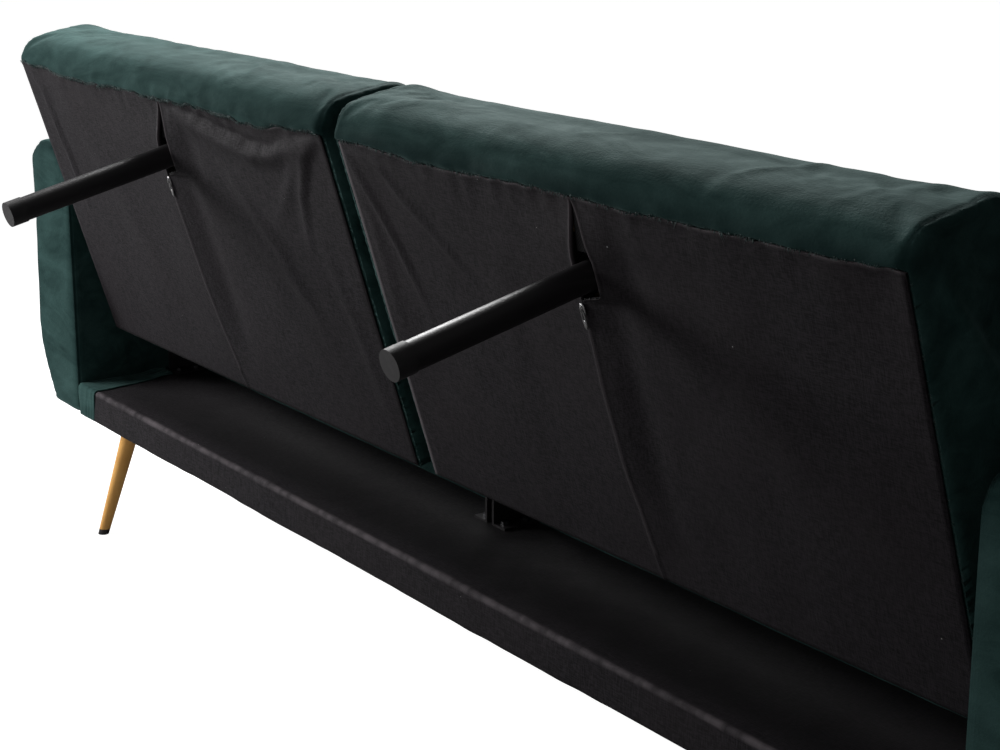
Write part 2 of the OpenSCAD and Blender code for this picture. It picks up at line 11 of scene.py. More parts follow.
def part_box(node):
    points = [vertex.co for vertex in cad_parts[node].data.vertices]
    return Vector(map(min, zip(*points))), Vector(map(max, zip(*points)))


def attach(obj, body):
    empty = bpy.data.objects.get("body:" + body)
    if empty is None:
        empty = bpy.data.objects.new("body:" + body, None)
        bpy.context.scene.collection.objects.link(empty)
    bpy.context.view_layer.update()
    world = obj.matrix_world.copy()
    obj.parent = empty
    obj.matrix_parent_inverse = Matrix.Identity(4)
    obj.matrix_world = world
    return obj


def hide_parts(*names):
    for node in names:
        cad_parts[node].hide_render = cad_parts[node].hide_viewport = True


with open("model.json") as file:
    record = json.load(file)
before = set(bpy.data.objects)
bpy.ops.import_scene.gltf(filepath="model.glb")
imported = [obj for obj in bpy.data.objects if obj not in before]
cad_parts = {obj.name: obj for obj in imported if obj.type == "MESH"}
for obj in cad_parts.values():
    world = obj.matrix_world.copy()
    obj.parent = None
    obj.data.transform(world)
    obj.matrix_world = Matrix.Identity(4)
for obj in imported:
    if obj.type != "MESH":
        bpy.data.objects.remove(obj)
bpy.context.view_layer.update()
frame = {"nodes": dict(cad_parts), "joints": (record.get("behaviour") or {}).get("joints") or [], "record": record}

# ---------------------------------------------------------------- places in the CAD frame

SIDES = {"left": -1, "right": 1}
JOINTS = {j["name"]: j for j in frame["joints"]}
RECLINE = math.radians(17)
SLOPE = np.array((0, math.sin(RECLINE), math.cos(RECLINE)))
OUTWARD = np.array((0, math.cos(RECLINE), -math.sin(RECLINE)))
HINGE = np.array(JOINTS["right_back_recline"]["pos_m"]) * (0, 1, 1)
HINGE_RISE, HINGE_DEPTH = 0.010, 0.122
LINING_FOOT = HINGE - HINGE_RISE * SLOPE + HINGE_DEPTH * OUTWARD

back_low, back_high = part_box("back_cover_right")
BACK_X0, BACK_X1 = back_low.x, back_high.x
lining_low, lining_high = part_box("lining_right")
LINING_X0, LINING_X1 = lining_low.x, lining_high.x
LINING_MID = (LINING_X0 + LINING_X1) / 2
LINING_H = 0.442
BACK_T = 0.150
BACK_TOP = LINING_H + 0.034

seat_low, seat_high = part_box("seat_cover_right")
arm_low, arm_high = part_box("arm_pad_right")
ledge_low, ledge_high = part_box("ledge_cover")
BASE_REAR = ledge_high.y
SLAB_TOP, SLAB_FOOT = ledge_high.z, ledge_low.z
ARM_INNER = arm_low.x

LEG_RADIUS = 0.0155
TOP_REAR_R, TOP_FRONT_R = 0.031, 0.040
CAVITY_X, CAVITY_U = (0.030, 0.890), (0.014, 0.412)

# How a padded piece is filled: frames of cloth simulation, pressure, stiffness, and the share of each
# sunken point's depth that is given back.
CLOTH_FRAMES, PRESSURE, STIFFNESS, REFILL = 20, 4, 12, 0.35


def in_row(x, u, w):
    """Row points of places on a back: x along the sofa, u up the slope, w out of the rear."""
    x, u, w = np.broadcast_arrays(x, u, w)
    points = LINING_FOOT + u[..., None] * SLOPE + w[..., None] * OUTWARD
    points[..., 0] = x
    return points


def on_back(points):
    """The (x, u, w) of row points."""
    from_foot = points - LINING_FOOT
    return points[:, 0], from_foot @ SLOPE, from_foot @ OUTWARD


# ---------------------------------------------------------------- mesh helpers


def smooth(t):
    t = np.clip(t, 0, 1)
    return t * t * (3 - 2 * t)


def bell(distance, width):
    return np.exp(-((distance / width) ** 2))


def noise(a, b, size, seed):
    """Smooth noise from -1 to 1 whose features have a given size."""
    table = np.random.default_rng(seed).uniform(-1, 1, (64, 64))
    a, b = np.asarray(a) / size, np.asarray(b) / size
    i, j = np.floor(a).astype(int), np.floor(b).astype(int)
    s, t = smooth(a - i), smooth(b - j)
    corner = lambda k, m: table[(i + k) % 64, (j + m) % 64]
    low = corner(0, 0) * (1 - s) + corner(1, 0) * s
    high = corner(0, 1) * (1 - s) + corner(1, 1) * s
    return low * (1 - t) + high * t


def line_distance(a, b, line):
    """Signed distance of points from a line of points, and how far along it they are, from 0 to 1."""
    line = np.array(line, float)
    lengths = np.linalg.norm(np.diff(line, axis=0), axis=1)
    done = np.concatenate([[0], np.cumsum(lengths)])
    best, signed, along = np.full(a.shape, 1e9), np.zeros(a.shape), np.zeros(a.shape)
    for k in range(len(lengths)):
        step = (line[k + 1] - line[k]) / lengths[k]
        da, db = a - line[k][0], b - line[k][1]
        t = np.clip(da * step[0] + db * step[1], 0, lengths[k])
        d = np.hypot(da - t * step[0], db - t * step[1])
        side = np.sign(da * step[1] - db * step[0])
        near = d < best
        best = np.where(near, d, best)
        signed = np.where(near, d * side, signed)
        along = np.where(near, (done[k] + t) / done[-1], along)
    return signed, along


def fold(a, b, line, height, width, steep=1.0):
    """Height of a soft fold along a line. The side with a positive distance is steeper by a stated factor."""
    d, t = line_distance(a, b, line)
    width = np.where(d > 0, width / steep, width)
    return height * bell(d, width) * np.sin(math.pi * np.clip(t, 0.03, 0.97)) ** 0.6


def new_object(name, mesh, material):
    mesh.materials.clear()
    mesh.materials.append(material)
    mesh.polygons.foreach_set("use_smooth", [True] * len(mesh.polygons))
    obj = bpy.data.objects.new(name, mesh)
    bpy.context.scene.collection.objects.link(obj)
    return obj


def from_points(name, points, faces, material):
    mesh = bpy.data.meshes.new(name)
    mesh.from_pydata(np.asarray(points, float).reshape(-1, 3).tolist(), [], faces)
    mesh.update()
    return new_object(name, mesh, material)


def grid_faces(rows, cols, start=0):
    """Squares of a grid whose points are stored row by row."""
    first = (np.arange(rows - 1)[:, None] * cols + np.arange(cols - 1)[None, :] + start).ravel()
    return np.stack([first, first + 1, first + cols + 1, first + cols], axis=1).tolist()


def read(mesh, what="co"):
    values = np.empty(len(mesh.vertices) * 3, np.float32)
    mesh.vertices.foreach_get(what, values)
    return values.reshape(-1, 3).astype(float)


def write(mesh, points):
    mesh.vertices.foreach_set("co", points.astype(np.float32).ravel())
    mesh.update()


def settle(obj):
    """Applies an object's modifiers."""
    graph = bpy.context.evaluated_depsgraph_get()
    mesh = bpy.data.meshes.new_from_object(obj.evaluated_get(graph))
    obj.modifiers.clear()
    obj.data = mesh
    return obj


def thicken(obj, thickness):
    """Gives a sheet its thickness, inwards from its shown side."""
    solid = obj.modifiers.new("thickness", "SOLIDIFY")
    solid.thickness = thickness
    solid.offset = -1
    return obj


def attribute(obj, name, values):
    mesh = obj.data
    layer = mesh.attributes.get(name) or mesh.attributes.new(name, "FLOAT", "POINT")
    layer.data.foreach_set("value", np.asarray(values, np.float32))


def arc(cx, cy, r, start, end, steps=8):
    a = np.radians(np.linspace(start, end, steps + 1))
    return [(cx + r * math.cos(t), cy + r * math.sin(t)) for t in a]


def turned(faces):
    """Faces that look the other way."""
    return [tuple(reversed(face)) for face in faces]


def swept(rings):
    """Points and faces of a closed solid through a row of matching outlines."""
    count = len(rings[0])
    faces = []
    for k in range(len(rings) - 1):
        for i in range(count):
            j = (i + 1) % count
            faces.append((k * count + i, k * count + j, (k + 1) * count + j, (k + 1) * count + i))
    faces.append(tuple(reversed(range(count))))
    faces.append(tuple(range((len(rings) - 1) * count, len(rings) * count)))
    return list(np.concatenate(rings)), faces


def lofted(name, rings, voxel, material):
    """A swept solid, remeshed into even squares."""
    obj = from_points(name, *swept(rings), material)
    remesh = obj.modifiers.new("remesh", "REMESH")
    remesh.mode = "VOXEL"
    remesh.voxel_size = voxel
    return settle(obj)


def swell(obj, pinned, cap):
    """Fills a padded piece: cloth under pressure, with a cap in metres on how far each point may move."""
    mesh = obj.data
    start = read(mesh)
    group = obj.vertex_groups.new(name="pinned")
    weights = pinned(start)
    for step in range(1, 11):
        chosen = np.nonzero(np.round(weights * 10) == step)[0]
        group.add([int(i) for i in chosen], step / 10, "REPLACE")
    cloth = obj.modifiers.new("cloth", "CLOTH")
    cloth.settings.vertex_group_mass = group.name
    cloth.settings.use_pressure = True
    cloth.settings.uniform_pressure_force = PRESSURE
    cloth.settings.effector_weights.gravity = 0
    cloth.settings.quality = 4
    cloth.settings.tension_stiffness = STIFFNESS
    cloth.settings.compression_stiffness = STIFFNESS
    cloth.point_cache.frame_end = CLOTH_FRAMES
    scene = bpy.context.scene
    for number in range(1, CLOTH_FRAMES + 1):
        scene.frame_set(number)
    settle(obj)
    scene.frame_set(1)
    obj.vertex_groups.clear()
    moved = read(obj.data) - start
    write(obj.data, start)
    normals = read(obj.data, "normal")
    sunk = np.maximum(-(moved * normals).sum(axis=1), 0)
    moved = moved + normals * (REFILL * sunk)[:, None]
    length = np.linalg.norm(moved, axis=1, keepdims=True)
    write(obj.data, start + moved * np.minimum(1, cap / np.maximum(length, 1e-9)))
    return obj


def subdivide(obj):
    obj.modifiers.new("finer", "SUBSURF").levels = 1
    return settle(obj)


def mirrored(obj, name):
    """A copy on the other side of the middle."""
    mesh = obj.data.copy()
    write(mesh, read(mesh) * (-1, 1, 1))
    mesh.flip_normals()
    copy = bpy.data.objects.new(name, mesh)
    bpy.context.scene.collection.objects.link(copy)
    return copy


# ---------------------------------------------------------------- materials


def add(beside, kind, inputs=None, **settings):
    """A shader node beside another's socket, with its settings and a value or a socket for each input."""
    tree = beside.id_data
    node = tree.nodes.new("ShaderNode" + kind)
    for key, value in settings.items():
        setattr(node, key, value)
    for key, value in (inputs or {}).items():
        if isinstance(value, bpy.types.NodeSocket):
            tree.links.new(value, node.inputs[key])
        else:
            node.inputs[key].default_value = value
    return node


def start(name):
    """A new material, and the place on the object that its patterns start from."""
    material = bpy.data.materials.new(name)
    material.use_nodes = True
    material.node_tree.nodes.clear()
    return material, add(material.node_tree, "TexCoord").outputs["Object"]


def end(material, **inputs):
    """Closes a material with a shader that has the given inputs, whose names have _ for a space."""
    named = {key.replace("_", " "): value for key, value in inputs.items()}
    shader = add(material.node_tree, "BsdfPrincipled", named)
    add(material.node_tree, "OutputMaterial", {"Surface": shader.outputs[0]})
    return material


def scaled(place, x, y, z):
    return add(place, "Mapping", {"Vector": place, "Scale": (x, y, z)}).outputs[0]


def grain(place, scale, detail=3.0, rough=0.55, distortion=0.0):
    inputs = {"Vector": place, "Scale": scale, "Detail": detail, "Roughness": rough}
    return add(place, "TexNoise", {**inputs, "Distortion": distortion}).outputs["Fac"]


def wave(place, scale, distortion=0.0, direction="X", **more):
    inputs = {"Vector": place, "Scale": scale, "Distortion": distortion, **more}
    return add(place, "TexWave", inputs, bands_direction=direction).outputs["Fac"]


def first_of(vector, axis="X"):
    return add(vector, "SeparateXYZ", {0: vector}).outputs[axis]


def painted(beside, name):
    """A value that the mesh holds at each of its points."""
    return add(beside, "Attribute", attribute_name=name).outputs["Fac"]


def maths(operation, a, b=0.0):
    return add(a, "Math", {0: a, 1: b}, operation=operation).outputs[0]


def times(a, b):
    return maths("MULTIPLY", a, b)


def spread(value, low, high, out_low=0.0, out_high=1.0):
    inputs = {"Value": value, "From Min": low, "From Max": high, "To Min": out_low, "To Max": out_high}
    return add(value, "MapRange", inputs, clamp=True).outputs[0]


def mix(share, a, b):
    """A colour between two, each of them a socket or a linear red, green and blue."""
    a, b = ((*colour, 1) if isinstance(colour, tuple) else colour for colour in (a, b))
    return add(share, "Mix", {0: share, 6: a, 7: b}, data_type="RGBA").outputs[2]


def bumped(height, distance, strength=1.0, before=None):
    inputs = {"Height": height, "Distance": distance, "Strength": strength}
    if before:
        inputs["Normal"] = before
    return add(height, "Bump", inputs).outputs[0]


def velvet_material():
    """Short pile with brushed streaks, mottling and a soft sheen, with painted shade in its seams, above the
    linings and at the backs' feet.
    """
    material, place = start("velvet")
    brushed = grain(scaled(place, 7, 20, 20), 1.0, 5, 0.66, 1.6)
    patches = grain(scaled(place, 1, 1.7, 1.7), 6.0, 4, 0.55, 0.9)
    pile = grain(scaled(place, 0.6, 1, 1), 420.0, 2, 0.7)
    lay = spread(maths("ADD", brushed, patches), 0.66, 1.34)
    colour = mix(lay, (0.0070, 0.0215, 0.0205), (0.045, 0.094, 0.088))
    colour = mix(times(pile, 0.35), colour, (0.014, 0.036, 0.034))
    # Painted shade: the mesh's stored share darkens the velvet in its seams, in a band above the linings and at
    # the backs' feet.
    painted_shade = painted(place, "painted_shade")
    colour = mix(times(painted_shade, 0.75), colour, (0.004, 0.014, 0.014))
    normal = bumped(pile, 0.0009, 0.55)
    normal = bumped(patches, 0.004, 0.25, normal)
    rough = spread(lay, 0, 1, 0.92, 0.72)
    return end(
        material,
        Base_Color=colour,
        Roughness=rough,
        Specular_IOR_Level=0.03,
        Sheen_Weight=0.12,
        Sheen_Roughness=0.35,
        Sheen_Tint=(0.60, 0.86, 0.83, 1),
        Normal=normal,
    )


THREADS = 5200  # of the lining, in radians of weave per metre


def lining_material():
    """Thin woven black cloth, a little purple, with slubs and a few specks of lint, painted shade on the ledge's
    top and painted highlights along hems and the ledge's rear edge.
    """
    material, place = start("lining")
    across = grain(scaled(place, 1, 9, 9), 95.0, 2, 0.6)
    down = grain(scaled(place, 9, 1, 1), 95.0, 2, 0.6)
    threads = times(maths("ADD", across, down), 0.5)
    clouds = grain(place, 5.0, 3, 0.5)
    warp, weft = (times(first_of(place, axis), THREADS) for axis in "XZ")
    weave = times(maths("SINE", warp), maths("SINE", weft))
    black, grey = (0.0062, 0.0053, 0.0066), (0.0212, 0.0178, 0.0218)
    colour = mix(spread(threads, 0.41, 0.59), black, grey)
    colour = mix(spread(clouds, 0.45, 0.75, 0, 0.5), colour, (0.0165, 0.0125, 0.0150))
    cells = add(place, "TexVoronoi", {"Vector": place, "Scale": 44.0})
    speck = maths("LESS_THAN", cells.outputs["Distance"], 0.035)
    chosen = maths("GREATER_THAN", first_of(cells.outputs["Color"]), 0.93)
    lint = times(times(speck, chosen), 0.8)
    colour = mix(lint, colour, (0.42, 0.42, 0.42))
    # Painted shade: darkens the ledge cloth's top where the backs shade it.
    flat = painted(place, "flat")
    colour = mix(times(flat, 0.75), colour, (0.0030, 0.0025, 0.0030))
    # Painted highlight: lightens the lining along its hems and the ledge's rear edge, where they catch the light.
    hem = painted(place, "hem")
    colour = mix(times(hem, 0.45), colour, (0.15, 0.13, 0.14))
    normal = bumped(threads, 0.0006, 0.5)
    normal = bumped(weave, 0.00015, 0.4, normal)
    return end(
        material,
        Base_Color=colour,
        Roughness=spread(threads, 0.4, 0.6, 0.82, 0.68),
        Specular_IOR_Level=0.14,
        Sheen_Weight=0.01,
        Sheen_Roughness=0.5,
        Normal=normal,
    )


def cut_pile_material():
    """Cut velvet pile, frayed, in a colour lifted well above the velvet's as painted light on the tufts, with
    random pale grey specks.
    """
    material, place = start("cut_pile")
    tone = grain(scaled(place, 60, 20, 20), 1.0, 3, 0.6)
    pale = grain(place, 700.0, 2, 0.6)
    # Painted light: both tones are mostly paler than the velvet's, standing in for light that misses the tufts.
    colour = mix(spread(tone, 0.42, 0.60), (0.030, 0.062, 0.060), (0.13, 0.18, 0.175))
    colour = mix(spread(pale, 0.5, 0.7), colour, (0.24, 0.25, 0.25))
    rough = spread(tone, 0.3, 0.7, 0.95, 0.8)
    return end(material, Base_Color=colour, Roughness=rough, Specular_IOR_Level=0.1)


def gold_material():
    """Satin brass-coloured tube, brushed round its length, a little worn."""
    material, place = start("gold")
    brushing = grain(scaled(place, 1, 1, 0.05), 520.0, 2, 0.6)
    wear = grain(place, 26.0, 4, 0.6)
    colour = mix(spread(wear, 0.35, 0.65), (0.92, 0.46, 0.115), (0.99, 0.54, 0.15))
    colour = mix(times(brushing, 0.18), colour, (0.50, 0.23, 0.05))
    rough = maths("ADD", spread(wear, 0.3, 0.7, 0.36, 0.46), times(brushing, 0.06))
    normal = bumped(brushing, 0.0002, 0.25)
    return end(material, Base_Color=colour, Metallic=0.25, Roughness=rough, Normal=normal)


def powder_coat_material():
    """Black powder coat on the support legs' tubes, with an orange-peel skin and faint rubbing."""
    material, place = start("powder_coat")
    peel = grain(place, 340.0, 2, 0.5)
    rub = grain(scaled(place, 40, 3, 40), 1.0, 4, 0.65)
    black, rubbed_and_highlit = (0.0150, 0.0130, 0.0148), (0.026, 0.023, 0.025)
    colour = mix(spread(rub, 0.55, 0.75), black, rubbed_and_highlit)
    rough = spread(rub, 0.35, 0.7, 0.38, 0.52)
    return end(material, Base_Color=colour, Roughness=rough, Normal=bumped(peel, 0.0004, 0.35))


def plastic_material():
    """Moulded plastic of the caps and foot tips, finely textured, scuffed in patches."""
    material, place = start("plastic")
    texture = grain(place, 900.0, 2, 0.6)
    scuff = grain(scaled(place, 60, 60, 60), 1.0, 5, 0.7)
    black, scuffed = (0.017, 0.0150, 0.0165), (0.034, 0.031, 0.033)
    colour = mix(spread(scuff, 0.5, 0.72), black, scuffed)
    rough = spread(scuff, 0.4, 0.7, 0.50, 0.66)
    return end(material, Base_Color=colour, Roughness=rough, Normal=bumped(texture, 0.0002, 0.4))


def steel_material(name, dark, pale):
    """Plated steel with a spangled, slightly uneven plating and fine scratches."""
    material, place = start(name)
    spangle = add(place, "TexVoronoi", {"Vector": place, "Scale": 260.0}).outputs["Color"]
    shade = first_of(spangle)
    scratch = grain(scaled(place, 30, 900, 60), 1.0, 2, 0.6)
    colour = mix(shade, dark, pale)
    rough = maths("ADD", times(shade, 0.12), spread(scratch, 0.4, 0.7, 0.26, 0.40))
    normal = bumped(scratch, 0.0001, 0.3)
    return end(material, Base_Color=colour, Metallic=1.0, Roughness=rough, Normal=normal)


def zip_metal_material():
    """Bright nickel of the zip sliders, with patchy wear."""
    material, place = start("zip_metal")
    wear = grain(place, 700.0, 3, 0.6)
    colour = mix(spread(wear, 0.4, 0.65), (0.22, 0.22, 0.23), (0.42, 0.41, 0.40))
    rough = spread(wear, 0.3, 0.7, 0.24, 0.38)
    normal = bumped(wear, 0.0001, 0.2)
    return end(material, Base_Color=colour, Metallic=1.0, Roughness=rough, Normal=normal)


def zip_tape_material():
    """Black herringbone tape and nylon coil of the zips."""
    material, place = start("zip_tape")
    rib = wave(place, 160.0, 0.4, "DIAGONAL")
    dust = grain(place, 120.0, 3, 0.6)
    colour = mix(rib, (0.010, 0.010, 0.011), (0.024, 0.023, 0.025))
    colour = mix(spread(dust, 0.6, 0.8, 0, 0.4), colour, (0.06, 0.056, 0.058))
    rough = spread(rib, 0, 1, 0.62, 0.5)
    return end(material, Base_Color=colour, Roughness=rough, Normal=bumped(rib, 0.0003, 0.6))


def timber_material():
    """Pale softwood and plywood with growth lines, pores and a few darker knots."""
    material, place = start("timber")
    drawn_out = scaled(place, 0.6, 6, 6)
    ring = wave(drawn_out, 5.0, 7.0, Detail=3.0)
    fibre = grain(scaled(place, 8, 260, 260), 1.0, 3, 0.6)
    knot = grain(scaled(place, 2, 8, 8), 1.0, 2, 0.5)
    colour = mix(ring, (0.50, 0.33, 0.17), (0.68, 0.50, 0.30))
    colour = mix(times(fibre, 0.4), colour, (0.38, 0.24, 0.12))
    colour = mix(spread(knot, 0.68, 0.78), colour, (0.22, 0.12, 0.06))
    rough = spread(fibre, 0.3, 0.7, 0.6, 0.8)
    return end(material, Base_Color=colour, Roughness=rough, Normal=bumped(fibre, 0.0004, 0.5))


def webbing_material():
    """Elastic upholstery webbing, woven in ribs with darker stripes."""
    material, place = start("webbing")
    ribs = wave(place, 180.0, 0.2)
    stripes = wave(place, 18.0, direction="Z")
    colour = mix(ribs, (0.50, 0.45, 0.36), (0.68, 0.63, 0.52))
    colour = mix(spread(stripes, 0.7, 0.9, 0, 0.5), colour, (0.30, 0.16, 0.10))
    rough = spread(ribs, 0, 1, 0.9, 0.75)
    return end(material, Base_Color=colour, Roughness=rough, Normal=bumped(ribs, 0.0005, 0.7))


def foam_material():
    """Cut polyurethane foam with open pores."""
    material, place = start("foam")
    pores = add(place, "TexVoronoi", {"Vector": place, "Scale": 620.0}).outputs["Distance"]
    tone = grain(place, 18.0, 3, 0.5)
    colour = mix(tone, (0.74, 0.66, 0.42), (0.84, 0.78, 0.56))
    colour = mix(spread(pores, 0.0, 0.3, 0.5, 0.0), colour, (0.5, 0.43, 0.26))
    rough = spread(tone, 0.3, 0.7, 0.95, 0.85)
    return end(material, Base_Color=colour, Roughness=rough, Normal=bumped(pores, 0.0006, 0.6))


MATERIALS = {
    "velvet": velvet_material(),
    "lining": lining_material(),
    "gold": gold_material(),
    "plastic": plastic_material(),
    "black_metal": powder_coat_material(),
    "steel": steel_material("steel", (0.40, 0.41, 0.43), (0.54, 0.55, 0.56)),
    "blackened_steel": steel_material("blackened_steel", (0.045, 0.045, 0.050), (0.10, 0.10, 0.105)),
    "zip_metal": zip_metal_material(),
    "zip_tape": zip_tape_material(),
    "timber": timber_material(),
    "webbing": webbing_material(),
    "foam": foam_material(),
}

for subpart in frame["record"]["subparts"]:
    slot = subpart["material_slot"]
    if slot == "steel" and subpart["node"].startswith("hinge"):
        slot = "blackened_steel"
    materials = frame["nodes"][subpart["node"]].data.materials
    materials.clear()
    materials.append(MATERIALS[slot])


def belongs(obj, body, slot, *nodes):
    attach(obj, body)
    if nodes:
        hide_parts(*nodes)
    return obj


# ---------------------------------------------------------------- the backs

FRAME_DEPTH = 0.060


def back_outline(inset, front):
    """Outline of a back as (w, u), drawn in by inset, and by front at its front face."""
    heel = 0.028 - inset
    depth = BACK_T - front
    slim = min(inset, 0.001)
    return (
        arc(-HINGE_DEPTH + front * 0.3, HINGE_RISE, heel, 180, 205, 4)
        + [(-HINGE_DEPTH + 0.01, slim - 0.004), (-slim, slim - 0.004)]
        + arc(-TOP_REAR_R, BACK_TOP - TOP_REAR_R, TOP_REAR_R - inset, 0, 90)
        + arc(TOP_FRONT_R - depth, BACK_TOP - TOP_FRONT_R, TOP_FRONT_R - inset, 90, 180)
    )


def back_rings():
    insets = ((0, 0.005, 0.013), (0.002, 0.002, 0.011), (0.008, 0.0005, 0.009))
    inner = [(BACK_X0 + d, i, f) for d, i, f in insets]
    outer = [(BACK_X1 - 0.001 - d, i, f) for d, i, f in reversed(insets)]
    rings = []
    for x, inset, front in inner + outer:
        w, u = np.array(back_outline(inset, front)).T
        rings.append(in_row(x, u, w))
    return rings


def back_held(points):
    """How firmly each point of a back's cover is held by the frame inside."""
    u, w = on_back(points)[1:]
    rear = smooth((w + 0.030) / 0.020)
    foot = smooth((0.060 - u) / 0.040)
    return np.maximum(rear * smooth((BACK_TOP - 0.010 - u) / 0.010), foot)


LINING_SAG = {
    1: lambda x: 0.007 * bell(x - 0.20, 0.075) + 0.004 * bell(x - 0.70, 0.07),
    -1: lambda x: 0.003 * bell(x + 0.22, 0.04),
}


def lining_top(x, side):
    """The wavy upper edge of a lining, where the velvet is stapled over it."""
    scallops = (0.0016 + 0.0006 * side) * noise(x, 0 * x, 0.016, 73 + side)
    swags = 0.0022 * (1 + noise(x, 0 * x, 0.055, 71 + side))
    ends = 0.0055 * bell(np.abs(x) - LINING_X1, 0.15) + 0.0045 * bell(np.abs(x) - LINING_X0, 0.10)
    return LINING_H + ends - 0.0016 - swags + scallops - LINING_SAG[side](x)


def velvet_roll(x, u, side):
    """How far the velvet's turned edge stands out just above a lining."""
    above = u - lining_top(x, side)
    height = 0.0050 + 0.0016 * noise(x, u, 0.022, 5 + side)
    return height * smooth((above + 0.0015) / 0.004) * bell(np.maximum(above - 0.006, 0), 0.009)


def shape_back(points, side):
    """The drawn-in ends, the squared sides round the frame, the flat rear with its lining, the cavity for the
    frame and the velvet's roll above the lining, of one back.
    """
    x, u, w = on_back(points)
    x = x * side
    high = smooth((u - 0.135) / 0.070)
    inner, outer = smooth((BACK_X0 + 0.10 - x) / 0.09), smooth((x - BACK_X1 + 0.10) / 0.09)
    middle = np.clip((w + BACK_T) / BACK_T, 0, 1)
    crown = np.sin(math.pi * np.clip(middle, 0.0, 1)) ** 0.7
    x = x - 0.0105 * inner**3 * high * crown + 0.006 * outer**3 * high * crown
    edge = np.maximum(LINING_H, lining_top(x * side, side) + 0.0004)
    framed = (u > -0.001) & (u < LINING_H) & (w > -FRAME_DEPTH)
    x = np.where(framed & (x < BACK_X0 + 0.006), np.minimum(x, BACK_X0 + 0.0010), x)
    x = np.where(framed & (x > BACK_X1 - 0.007), np.maximum(x, BACK_X1 - 0.0018), x)
    rear = (u > -0.003) & (u < edge) & (w > -0.009)
    w = np.where(rear, np.maximum(w, -0.0012), w)
    lined = rear & (x > LINING_X0 + 0.001) & (x < LINING_X1 - 0.001) & (u > 0.003)
    w = np.where(lined, -0.0022, w)
    hollow = lined & (x > CAVITY_X[0]) & (x < CAVITY_X[1]) & (u > CAVITY_U[0]) & (u < CAVITY_U[1])
    w = np.where(hollow, -FRAME_DEPTH - 0.004, w)
    w = w + velvet_roll(x * side, u, side) * smooth((w + 0.014) / 0.010)
    return x * side, u, w, hollow


def pushed(points, normals, height):
    return points + normals * np.asarray(height)[:, None]


def creased(points, normals, a, b, share, steep, creases):
    """Raises soft folds along lines in (a, b), each with its own height and width."""
    for line, height, width in creases:
        points = pushed(points, normals, share * fold(a, b, line, height, width, steep))
    return points


def seam_groove(points, normals, distance, depth, width):
    """Draws points in along a seam and returns them with how much of a seam each one is, the share by which the
    velvet is darkened as painted shade.
    """
    share = bell(distance, width)
    return pushed(points, normals, -depth * share), share


BACK_CREASES = {
    "left": [
        ([(-0.655, 0.035), (-0.675, 0.075), (-0.70, 0.125)], 0.0018, 0.010),
        ([(-0.795, 0.030), (-0.815, 0.080), (-0.845, 0.130)], 0.0016, 0.014),
        ([(-0.085, 0.045), (-0.135, 0.070), (-0.20, 0.060)], 0.0026, 0.012),
        ([(-0.40, 0.060), (-0.45, 0.095)], 0.0016, 0.014),
    ],
    "right": [
        ([(0.245, 0.040), (0.275, 0.075), (0.33, 0.095)], 0.0022, 0.010),
        ([(0.66, 0.040), (0.68, 0.090)], 0.0016, 0.014),
        ([(0.10, 0.050), (0.16, 0.085)], 0.0018, 0.013),
    ],
}


def finish_back(obj, name):
    side = SIDES[name]
    mesh = obj.data
    x, u, w, hollow = shape_back(read(mesh), side)
    points = in_row(x, u, w)
    write(mesh, points)
    normals = read(mesh, "normal")
    top = smooth((u - LINING_H + 0.010) / 0.020)
    round_top = smooth((w + 0.030) / 0.020) * (u - LINING_H)
    across = -w + round_top
    points = creased(points, normals, x, across, top, 1.7, BACK_CREASES[name])
    lumps = 0.0011 * noise(x, across + u, 0.075, 21 + side)
    lumps += 0.0006 * noise(x * 1.3, across - u, 0.032, 31 + side)
    outside = smooth(np.maximum((u - LINING_H - 0.002) / 0.010, (-w - FRAME_DEPTH - 0.008) / 0.02))
    points = pushed(points, normals, lumps * smooth((u - 0.05) / 0.1) * outside)
    ends = np.minimum(np.abs(x * side - BACK_X0 - 0.004), np.abs(x * side - BACK_X1 + 0.007))
    boxed = (u > LINING_H + 0.004) | (w < -FRAME_DEPTH - 0.008)
    points, painted_shade = seam_groove(points, normals, ends + ~boxed, 0.0015, 0.0026)
    write(mesh, points)
    # Painted shade: a dark band on the velvet just above each lining, much stronger on the left back than the
    # right, and darkening at the backs' feet, stored with the seams' shares for the velvet to darken.
    rear_band_shade = bell(u - LINING_H - 0.004, 0.014) * smooth((w + 0.030) / 0.012)
    rear_band_shade = rear_band_shade * ((0.35 if side > 0 else 0.85) + 0.25 * noise(x, u, 0.05, 23 + side))
    shade_underneath = 0.9 * smooth((0.010 - u) / 0.006)
    attribute(obj, "painted_shade", np.maximum.reduce([painted_shade, rear_band_shade, shade_underneath]))
    return hollow


back = lofted("back_upholstery_right", back_rings(), 0.0065, MATERIALS["velvet"])
subdivide(swell(back, back_held, 0.013))
backs = {"right": back, "left": mirrored(back, "back_upholstery_left")}
for name, obj in backs.items():
    hollow = finish_back(obj, name)
    obj.data.materials.append(MATERIALS["foam"])
    corners = np.empty(len(obj.data.loops), np.int32)
    obj.data.loops.foreach_get("vertex_index", corners)
    inside = hollow[corners].reshape(-1, 4).all(axis=1)
    obj.data.polygons.foreach_set("material_index", inside.astype(np.int32))
    obj.data.polygons.foreach_set("use_smooth", [True] * len(obj.data.polygons))
    belongs(obj, f"back_{name}", "velvet", f"back_cover_{name}", f"back_foam_{name}")

# ---------------------------------------------------------------- the linings

SLIT_TOP, ZIP_TOP = 0.441, 0.327
SLIT_LEAN = {-1: 0.004, 1: -0.014}
SLIT_BOW = 0.017
LEG_LOW, LEG_HIGH = 0.338, 0.376


